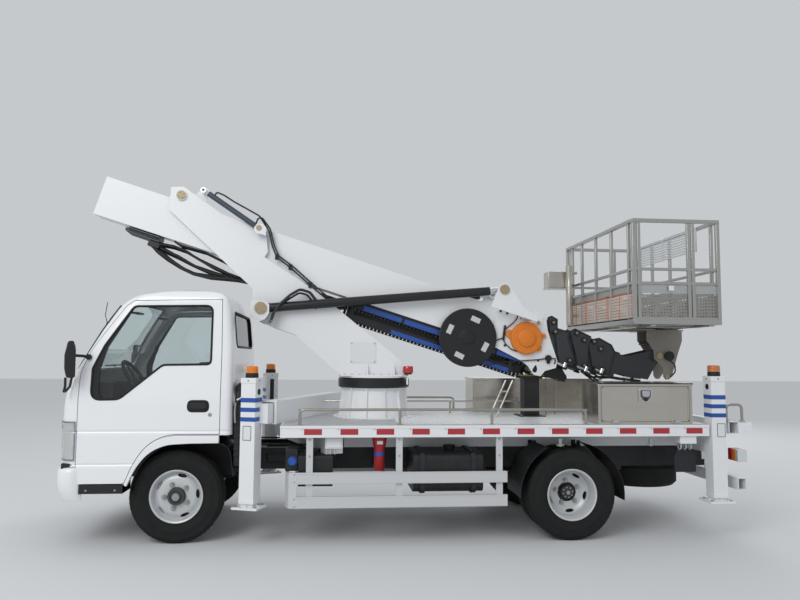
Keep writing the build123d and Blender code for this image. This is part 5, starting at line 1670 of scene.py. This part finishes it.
# Boom: tail gear, stripes, cable run, reel, end cover and heads, drawn along the boom.
# Tail hoses: one line per lane, then place across, drop and radius of each hose in it.
TAIL_LANES = (([(-140, -520), (-53, -566), (60, -606), (198, -648), (336, -668), (506, -646), (646, -612),
                (772, -592)],
               ((-74, 0, 13), (-40, 10, 12), (-4, -6, 13))),
              ([(-140, -510), (0, -538), (130, -556), (300, -590), (450, -600), (646, -596), (772, -588)],
               ((-60, 0, 12), (30, 8, 12), (64, -8, 11))),
              ([(-90, -500), (60, -478), (190, -486), (330, -520), (480, -548), (646, -566), (772, -572)],
               ((-80, 0, 11), (0, 8, 11), (80, 0, 11))))
TAIL_LINES = [(60, -430), (113, -448), (358, -436), (568, -466), (900, -470), (1760, -470)]
CHAIN_LINK = 38.0


def boom_trim():
    bm = bmesh.new()
    for y in (-84, 78):
        block(bm, -380, -100, y, y + 5, -470, -424, BF)
    block(bm, -168, -60, -96, 96, -545, -492, BF)
    block(bm, -150, -80, -80, 80, -492, -424, BF)
    piece("tail_hose_guide", "boom_base", "head_black", bm, 3)
    bm = bmesh.new()
    for k in range(5):
        y = -96 + 46 * k
        loop = rounded([(-80, -440), (-392, -440), (-408, -458), (-392, -476), (-74, -480)], 16, 5,
                       closed=False)
        pipe(bm, [on_boom(x, y, z - 2 * k) for x, z in loop], 7, 10)
    piece("tail_return_pipes", "boom_base", "pipe_steel", bm)
    bm = bmesh.new()
    for lane, strands in TAIL_LANES:
        for k, (dy, dz, r) in enumerate(strands):
            line = [(x - 9 * k, z + dz + 6 * math.sin(k * 2.3 + x * 0.011)) for x, z in lane]
            line += [(980, -560), (1240, -520), (1700, -490)]
            hose(bm, [on_boom(x, dy, z) for x, z in line], r, 12, 120)
    for dy in (-80, 84):
        hose(bm, [on_boom(x, dy, z) for x, z in TAIL_LINES], 9, 10)
    piece("boom_tail_hoses", "boom_base", "hose_rubber", bm)
    bm = bmesh.new()
    for s in (-1, 1):
        block(bm, 1976, 3634, *span(s, 120.5, 124), -498, -450, BF)
        block(bm, 2300, 3520, *span(s, 95.5, 99), -630, -588, BF)
    piece("tray_blue_strips", "boom_base", "stripe_blue", bm, 1)
    bm = bmesh.new()
    for x in (1900, 2380, 2860, 3340):
        block(bm, x - 14, x + 14, -126, 126, -500, -436, BF)
    piece("tray_hangers", "boom_base", "head_black", bm, 2)
    path = bmesh.new()
    run = [(1811, -529), (3640, -529), (3700, -545), (3712, -561), (3700, -577), (3640, -593), (1811, -593)]
    run = rounded(run, 24, 5, closed=False)
    made = [path.verts.new(on_boom(x, 0, z)) for x, z in run]
    for a, b in zip(made, made[1:]):
        path.edges.new((a, b))
    link = bmesh.new()
    block(link, -13, 13, -52, 52, -15, 15)
    block(link, -17, 17, -58, -52, -11, 11)
    block(link, -17, 17, 52, 58, -11, 11)
    link.transform(turned(90, "Y"))
    bm = bmesh.new()
    add_mesh(bm, repeat("path", loose(link), "chain_nylon", Path=loose(path), Spacing=CHAIN_LINK))
    block(bm, 1830, 3650, -50, 50, -608, -514, BF)
    piece("energy_chain", "boom_base", "chain_nylon", bm)
    reel_trim()
    head_trim()


def facing(x, z, y):
    # Local Z points outward from the left side of the boom
    return moved(x, y, z) @ turned(90, "X")


# Ears of the winch cover: angle, distance from its centre, radius
WINCH_EARS = ((8, 178, 24), (62, 146, 22), (166, 166, 40), (322, 154, 34))


def reel_trim():
    place = facing(2588, 1752, -188)
    bm = bmesh.new()
    lathe(bm, [(278, -2), (284, 2), (284, 10), (278, 13), (250, 10), (250, -2)], place, 96)
    lathe(bm, [(0, 0), (86, 0), (86, 8), (60, 14), (60, 22), (30, 26), (0, 26)], place, 48)
    unit = bmesh.new()
    block(unit, 90, 250, -7, 7, 0, 4)
    set_ring(bm, unit, "head_black", 8, 0.8, place)
    lathe(bm, [(80, 3), (262, 3), (262, 8), (80, 8)], place, 96)
    piece("hose_reel_flange", "boom_base", "head_black", bm, 1)
    bm = bmesh.new()
    unit = bmesh.new()
    rod(unit, (72, 0, 10), (72, 0, 17), 8, 6)
    set_ring(bm, unit, "zinc_plated", 8, 0.2, place)
    piece("hose_reel_bolts", "boom_base", "head_black", bm)
    bm = bmesh.new()
    for a in (66, 155, 244, 332):
        turn = place @ turned(a, "Z") @ moved(192, 0, 0)
        block(bm, -25, 25, -46, 46, 7, 10, turn)
    piece("hose_reel_windows", "boom_base", "guard_enamel", bm)
    bm = bmesh.new()
    turns = [k * math.pi / 24 for k in range(48)]
    for t in (-158, -150, -142):
        ring = [(2588 + 222 * math.cos(a), t, 1752 + 222 * math.sin(a)) for a in turns]
        pipe(bm, ring, 5, 8, closed=True)
    piece("hose_reel_turns", "boom_base", "hose_rubber", bm)
    cover = facing(3169, 1752, -160)
    bm = bmesh.new()
    lathe(bm, [(0, 2), (150, 2), (158, 8), (158, 38), (150, 50), (90, 54), (86, 66), (76, 72), (0, 72)],
          cover, 72)
    for a, d, r in WINCH_EARS:
        turn = cover @ turned(a, "Z")
        lathe(bm, [(0, 4), (r, 4), (r, 26), (r - 4, 30), (0, 30)], turn @ moved(d, 0, 0), 24)
        block(bm, d - 60, d, -r * 0.8, r * 0.8, 4, 26, turn)
    unit = bmesh.new()
    block(unit, 88, 136, -2.5, 2.5, 50, 54.5)
    set_ring(bm, unit, "cover_orange", 10, 0.1, cover)
    piece("winch_cover", "boom_base", "cover_orange", bm, 2)
    bm = bmesh.new()
    for a, d, r in WINCH_EARS:
        turn = cover @ turned(a, "Z")
        rod(bm, turn @ Vector((d, 0, 28)), turn @ Vector((d, 0, 36)), 8, 6)
    piece("winch_cover_bolts", "boom_base", "zinc_plated", bm)
    bm = bmesh.new()
    for line in ([(3098, 2008), (3084, 1946), (3046, 1903), (2985, 1856), (2950, 1820)],
                 [(2945, 1800), (2945, 1730), (2966, 1694), (3021, 1644), (3083, 1620), (3132, 1640)],
                 [(2860, 1716), (2890, 1736), (2940, 1752)],
                 [(2773, 1490), (2960, 1516), (3126, 1531), (3300, 1544), (3393, 1558), (3470, 1552)]):
        hose(bm, [(x, -174, z) for x, z in line], 5.5, 10)
    rod(bm, (2962, -174, 1876), (2944, -174, 1734), 11, 12)
    piece("winch_cable", "boom_base", "hose_rubber", bm)


# Collars of the inner sections: body, half width, name, edge line, places of the rollers
COLLARS = (("boom_second", 134, "collar_second",
            [(3740, 10), (3772, 33), (3836, 20), (3862, -66), (3986, -66), (3996, -126), (4104, -280),
             (4117, -373), (3986, -400), (3930, -300), (3862, -140), (3800, -120)],
            ((3806, -22), (3850, -104), (4070, -330))),
           ("boom_third", 119, "collar_third",
            [(3996, -50), (4040, -13), (4220, -38), (4210, -121), (4258, -267), (4275, -380),
             (4190, -390), (4120, -260)],
            ((4066, -46), (4160, -90), (4232, -330))),
           ("boom_fourth", 104, "collar_fourth",
            [(4205, -92), (4240, -60), (4310, -22), (4448, -48), (4500, -100), (4500, -340),
             (4440, -349), (4330, -330)],
            ((4266, -70), (4350, -120), (4430, -310))))


def head_trim():
    bm = bmesh.new()
    for s in (-1, 1):
        outline = [(3426, -52), (3426, -29), (3540, -36), (3548, 12), (3700, 25), (3716, -14), (3560, -60)]
        sheet(bm, outline, *span(s, 159, 166), BF)
        sheet(bm, [(3430, -200), (3620, -180), (3700, -20), (3716, -24), (3640, -200), (3440, -222)],
              *span(s, 159, 162), BF)
        # A grease nipple on each cheek
        rod(bm, on_boom(2955, s * 176, 130), on_boom(2955, s * 178, 130), 2, 6)
        cap = [(3277, 2010), (3284, 2014), (3360, 1992), (3334, 1886), (3266, 1900)]
        sheet(bm, cap, *span(s, 64, 170))
    piece("head_cheeks", "boom_base", "body_enamel", bm, 2)
    bm = bmesh.new()
    for s in (-1, 1):
        rod(bm, (2927, s * 300, 2216), (2927, s * 322, 2216), 46, 48)
        rod(bm, (3300, s * 160, 1906), (3300, s * 176, 1906), 18, 32)
    piece("head_pins", "boom_base", "bush_bronze", bm, 2)
    bm = bmesh.new()
    for s in (-1, 1):
        for x, z in ((3262, -84), (3262, -392), (3400, -392), (3660, -300), (3760, -430), (3330, -84),
                     (3480, -84)):
            p = on_boom(x, s * 160, z)
            rod(bm, p, (p.x, s * 168, p.z), 13, 6)
        rod(bm, (3393, s * 160, 1558), (3393, s * 188, 1558), 31, 28)
        rod(bm, (3393, s * 160, 1520), (3393, s * 178, 1520), 17, 20)
    piece("head_bolts", "boom_base", "trim_black", bm, 1)
    # Dark drop-shaped sheets on the cheeks stand for the lug holes: painted shade
    bm = bmesh.new()
    for s in (-1, 1):
        drop = [(3272, 1502), (3284, 1450), (3276, 1424), (3258, 1416), (3240, 1424), (3234, 1444)]
        sheet(bm, rounded(drop, 12, 4), *span(s, 157, 161))
    piece("head_lug_holes", "boom_base", "seal_rubber", bm)
    for body, half, name, collar, rollers in COLLARS:
        bm = bmesh.new()
        for s in (-1, 1):
            pipe(bm, [on_boom(x, s * half, z) for x, z in collar], 7, 8, closed=True)
            for x, z in rollers:
                p = on_boom(x, s * (half - 2), z)
                rod(bm, p, (p.x, s * (half + 16), p.z), 26, 28)
        for x in (collar[0][0] + 150, collar[0][0] + 250):
            block(bm, x, x + 24, -half - 3, half + 3, -96, -84, BF)
        piece(name, body, "head_black", bm, 1)
        bm = bmesh.new()
        for s in (-1, 1):
            for x, z in rollers:
                p = on_boom(x, s * (half + 13), z)
                rod(bm, p, (p.x, s * (half + 22), p.z), 13, 20)
        piece(name + "_pins", body, "brass_fitting", bm, 1)
    bm = bmesh.new()
    for s in (-1, 1):
        sheet(bm, [(3800, -500), (3986, -404), (4030, -408), (4120, -500), (4100, -548), (4020, -540),
                   (3850, -570)], *span(s, 60, 72), BF)
    for x, z, r in ((3900, -520, 30), (4070, -505, 42)):
        rod(bm, on_boom(x, -80, z), on_boom(x, 80, z), r, 32)
    piece("pulley_bracket", "boom_base", "head_black", bm, 2)
    for body, inner, outer, a, b in (("boom_second", 118, 130, (3963, -391), (4029, -402)),
                                     ("boom_third", 104, 116, (4186, -361), (4253, -371)),
                                     ("boom_fourth", 90, 102, (4380, -330), (4415, -340))):
        bm = bmesh.new()
        for s in (-1, 1):
            y = s * (outer + 18)
            rod(bm, on_boom(a[0] - 30, y, a[1]), on_boom(b[0] + 10, y, b[1]), 13, 20)
            rod(bm, on_boom(b[0], y, b[1] - 14), on_boom(b[0] + 4, y, b[1] + 34), 20, 16)
        piece("rope_anchors_" + body, body, "hard_chrome", bm)
        bm = bmesh.new()
        for s in (-1, 1):
            block(bm, b[0] - 20, b[0] + 34, *span(s, inner - 6, outer + 36), b[1] - 30, b[1] - 12, BF)
            block(bm, a[0] - 44, a[0] - 24, *span(s, inner - 6, outer + 30), a[1] - 26, a[1] + 22, BF)
        piece("rope_brackets_" + body, body, "head_black", bm, 2)
    bm = bmesh.new()
    for s in (-1, 1):
        hose(bm, [on_boom(x, s * 112, z) for x, z in ((4300, -360), (4420, -400), (4560, -350),
                                                      (4700, -330), (4830, -300))], 11, 12, 60)
        hose(bm, [on_boom(x, s * 60, z) for x, z in ((4280, -380), (4460, -440), (4640, -380),
                                                     (4860, -330))], 9, 12, 60)
    piece("nose_hoses", "boom_fourth", "hose_rubber", bm)
    bm = bmesh.new()
    for s in (-1, 1):
        nose_line = [(4500, -110), (4620, -110), (4750, -35), (4860, 30), (4915, 40), (4960, 10),
                     (4965, -30), (4940, -128)]
        pipe(bm, [on_boom(x, s * 92, z) for x, z in nose_line], 4, 8)
        p = on_boom(4900, s * 94, -30)
        rod(bm, p, (p.x, s * 98, p.z), 44, 40)
    piece("nose_edges", "boom_fourth", "head_black", bm)


# Platform bracket and basket support
def platform_trim():
    bm = bmesh.new()
    for s in (-1, 1):
        rod(bm, (4651, s * 112, 1588), (4651, s * 140, 1588), 40, 32)
    rod(bm, (4651, -136, 1588), (4651, -152, 1588), 48, 32)
    piece("bracket_lamp", "platform_base", "trim_black", bm, 3)
    bm = bmesh.new()
    hose(bm, [(4651, -146, 1545), (4700, -150, 1500), (4704, -148, 1430), (4660, -130, 1375)], 7, 10, 40)
    piece("bracket_cable", "platform_base", "hose_rubber", bm)
    bm = bmesh.new()
    for s in (-1, 1):
        rod(bm, (4636, s * 112, 1380), (4636, s * 124, 1380), 24, 32)
        rod(bm, (4560, s * 112, 1590), (4560, s * 126, 1590), 34, 32)
    piece("bracket_pins", "platform_base", "bush_bronze", bm, 1)
    bm = bmesh.new()
    block(bm, 4440, 4790, -104, 104, 1700, 1712)
    rod(bm, (4600, 0, 1712), (4600, 0, 1838), 60, 40)
    for k in range(8):
        x = 4700 + 96 * math.cos(math.radians(45 * k))
        y = 96 * math.sin(math.radians(45 * k))
        screw(bm, (x, y, 1838), (x, y, 1820), 9, 8)
    piece("swing_drive", "platform_base", "chassis_paint", bm, 2)
    bm = bmesh.new()
    for y in (-540, 540):
        block(bm, 3975, 4750, y - 22, y + 22, 1852, 1866)
    for x in (4150, 4700):
        block(bm, x - 25, x + 25, -860, 860, 1853, 1866)
    piece("basket_bearers", "platform", "stainless_sheet", bm, 2)


# Cab interior touches
def interior_trim():
    bm = bmesh.new()
    block(bm, -560, -548, -640, -230, 1240, 1320)
    rod(bm, (-520, -60, 1100), (-440, -60, 1330), 10, 12)
    ball(bm, (-436, -60, 1340), 24)
    piece("cab_gauges", "base", "trim_black", bm, 2)
    bm = bmesh.new()
    for y, half in ((-430, 225), (60, 180), (470, 180)):
        for k in range(5):
            t = -0.8 + 0.4 * k
            block(bm, -140, 235, y + t * half - 2, y + t * half + 2, 1229, 1236)
    piece("seat_piping", "base", "trim_black", bm)
    bm = bmesh.new()
    block(bm, -480, -420, -590, -360, 1925, 1940)
    block(bm, -480, -420, 360, 590, 1925, 1940)
    piece("sun_visors", "base", "cabin_vinyl", bm, 4)


deck_trim()
box_trim()
frame_trim()
leg_trim()
turret_trim()
boom_trim()
platform_trim()
interior_trim()


# Studio: pale floor, white surround, large soft lamps
def studio():
    floor_mesh = bpy.data.meshes.new("studio_floor")
    floor_mesh.from_pydata([(-40, -40, 0), (40, -40, 0), (40, 40, 0), (-40, 40, 0)], [], [(0, 1, 2, 3)])
    floor_mesh.materials.append(finish("floor_paper", "D2D4D6", 0.95))
    floor = linked("studio_floor", floor_mesh)
    floor.location.z = -0.002
    world = bpy.data.worlds.new("studio")
    bpy.context.scene.world = world
    world.use_nodes = True
    tree = world.node_tree
    tree.nodes.clear()
    path = node(tree, "ShaderNodeLightPath")
    seen = node(tree, "ShaderNodeMath", {0: path.outputs["Is Camera Ray"],
                                         1: path.outputs["Is Glossy Ray"]}, operation="MAXIMUM")
    seen_all = node(tree, "ShaderNodeMath", {0: seen.outputs[0], 1: path.outputs["Is Transmission Ray"]},
                    operation="MAXIMUM")
    light = node(tree, "ShaderNodeBackground", {"Color": srgb("F4F6F8"), "Strength": 0.75})
    shown = node(tree, "ShaderNodeBackground", {"Color": srgb("C6C9CC"), "Strength": 1.0})
    mix = node(tree, "ShaderNodeMixShader", {0: seen_all.outputs[0], 1: light.outputs[0],
                                             2: shown.outputs[0]})
    node(tree, "ShaderNodeOutputWorld", {"Surface": mix.outputs[0]})
    for name, spot, aim, power, size in (("key", (-6, -9, 8), (0, 0, 1.2), 550, 6),
                                         ("back", (5, 9, 7), (0, 0, 1.5), 260, 6)):
        data = bpy.data.lights.new(name, "AREA")
        data.energy = power
        data.size = size
        lamp = linked(name, data)
        lamp.location = spot
        lamp.rotation_euler = (Vector(aim) - Vector(spot)).to_track_quat("-Z", "Y").to_euler()


def camera():
    # Turned 5.5 degrees, tipped up 4.6 and rolled 0.4, as the photograph was taken
    yaw, pitch, roll = math.radians(5.478), math.radians(4.623), math.radians(0.385)
    ahead = Vector((math.sin(yaw) * math.cos(pitch), math.cos(yaw) * math.cos(pitch), math.sin(pitch)))
    right0 = Vector((math.cos(yaw), -math.sin(yaw), 0))
    up0 = right0.cross(ahead)
    right = math.cos(roll) * right0 + math.sin(roll) * up0
    up = -math.sin(roll) * right0 + math.cos(roll) * up0
    data = bpy.data.cameras.new("view")
    data.sensor_width = 36
    data.lens = 36 * 700 / 800
    data.clip_end = 200
    cam = linked("view", data)
    turn = Matrix((right, up, -ahead)).transposed().to_4x4()
    cam.matrix_world = moved(-0.728, -6.896, 1.564) @ turn
    bpy.context.scene.camera = cam


studio()
camera()
bpy.context.scene.view_settings.view_transform = "Standard"
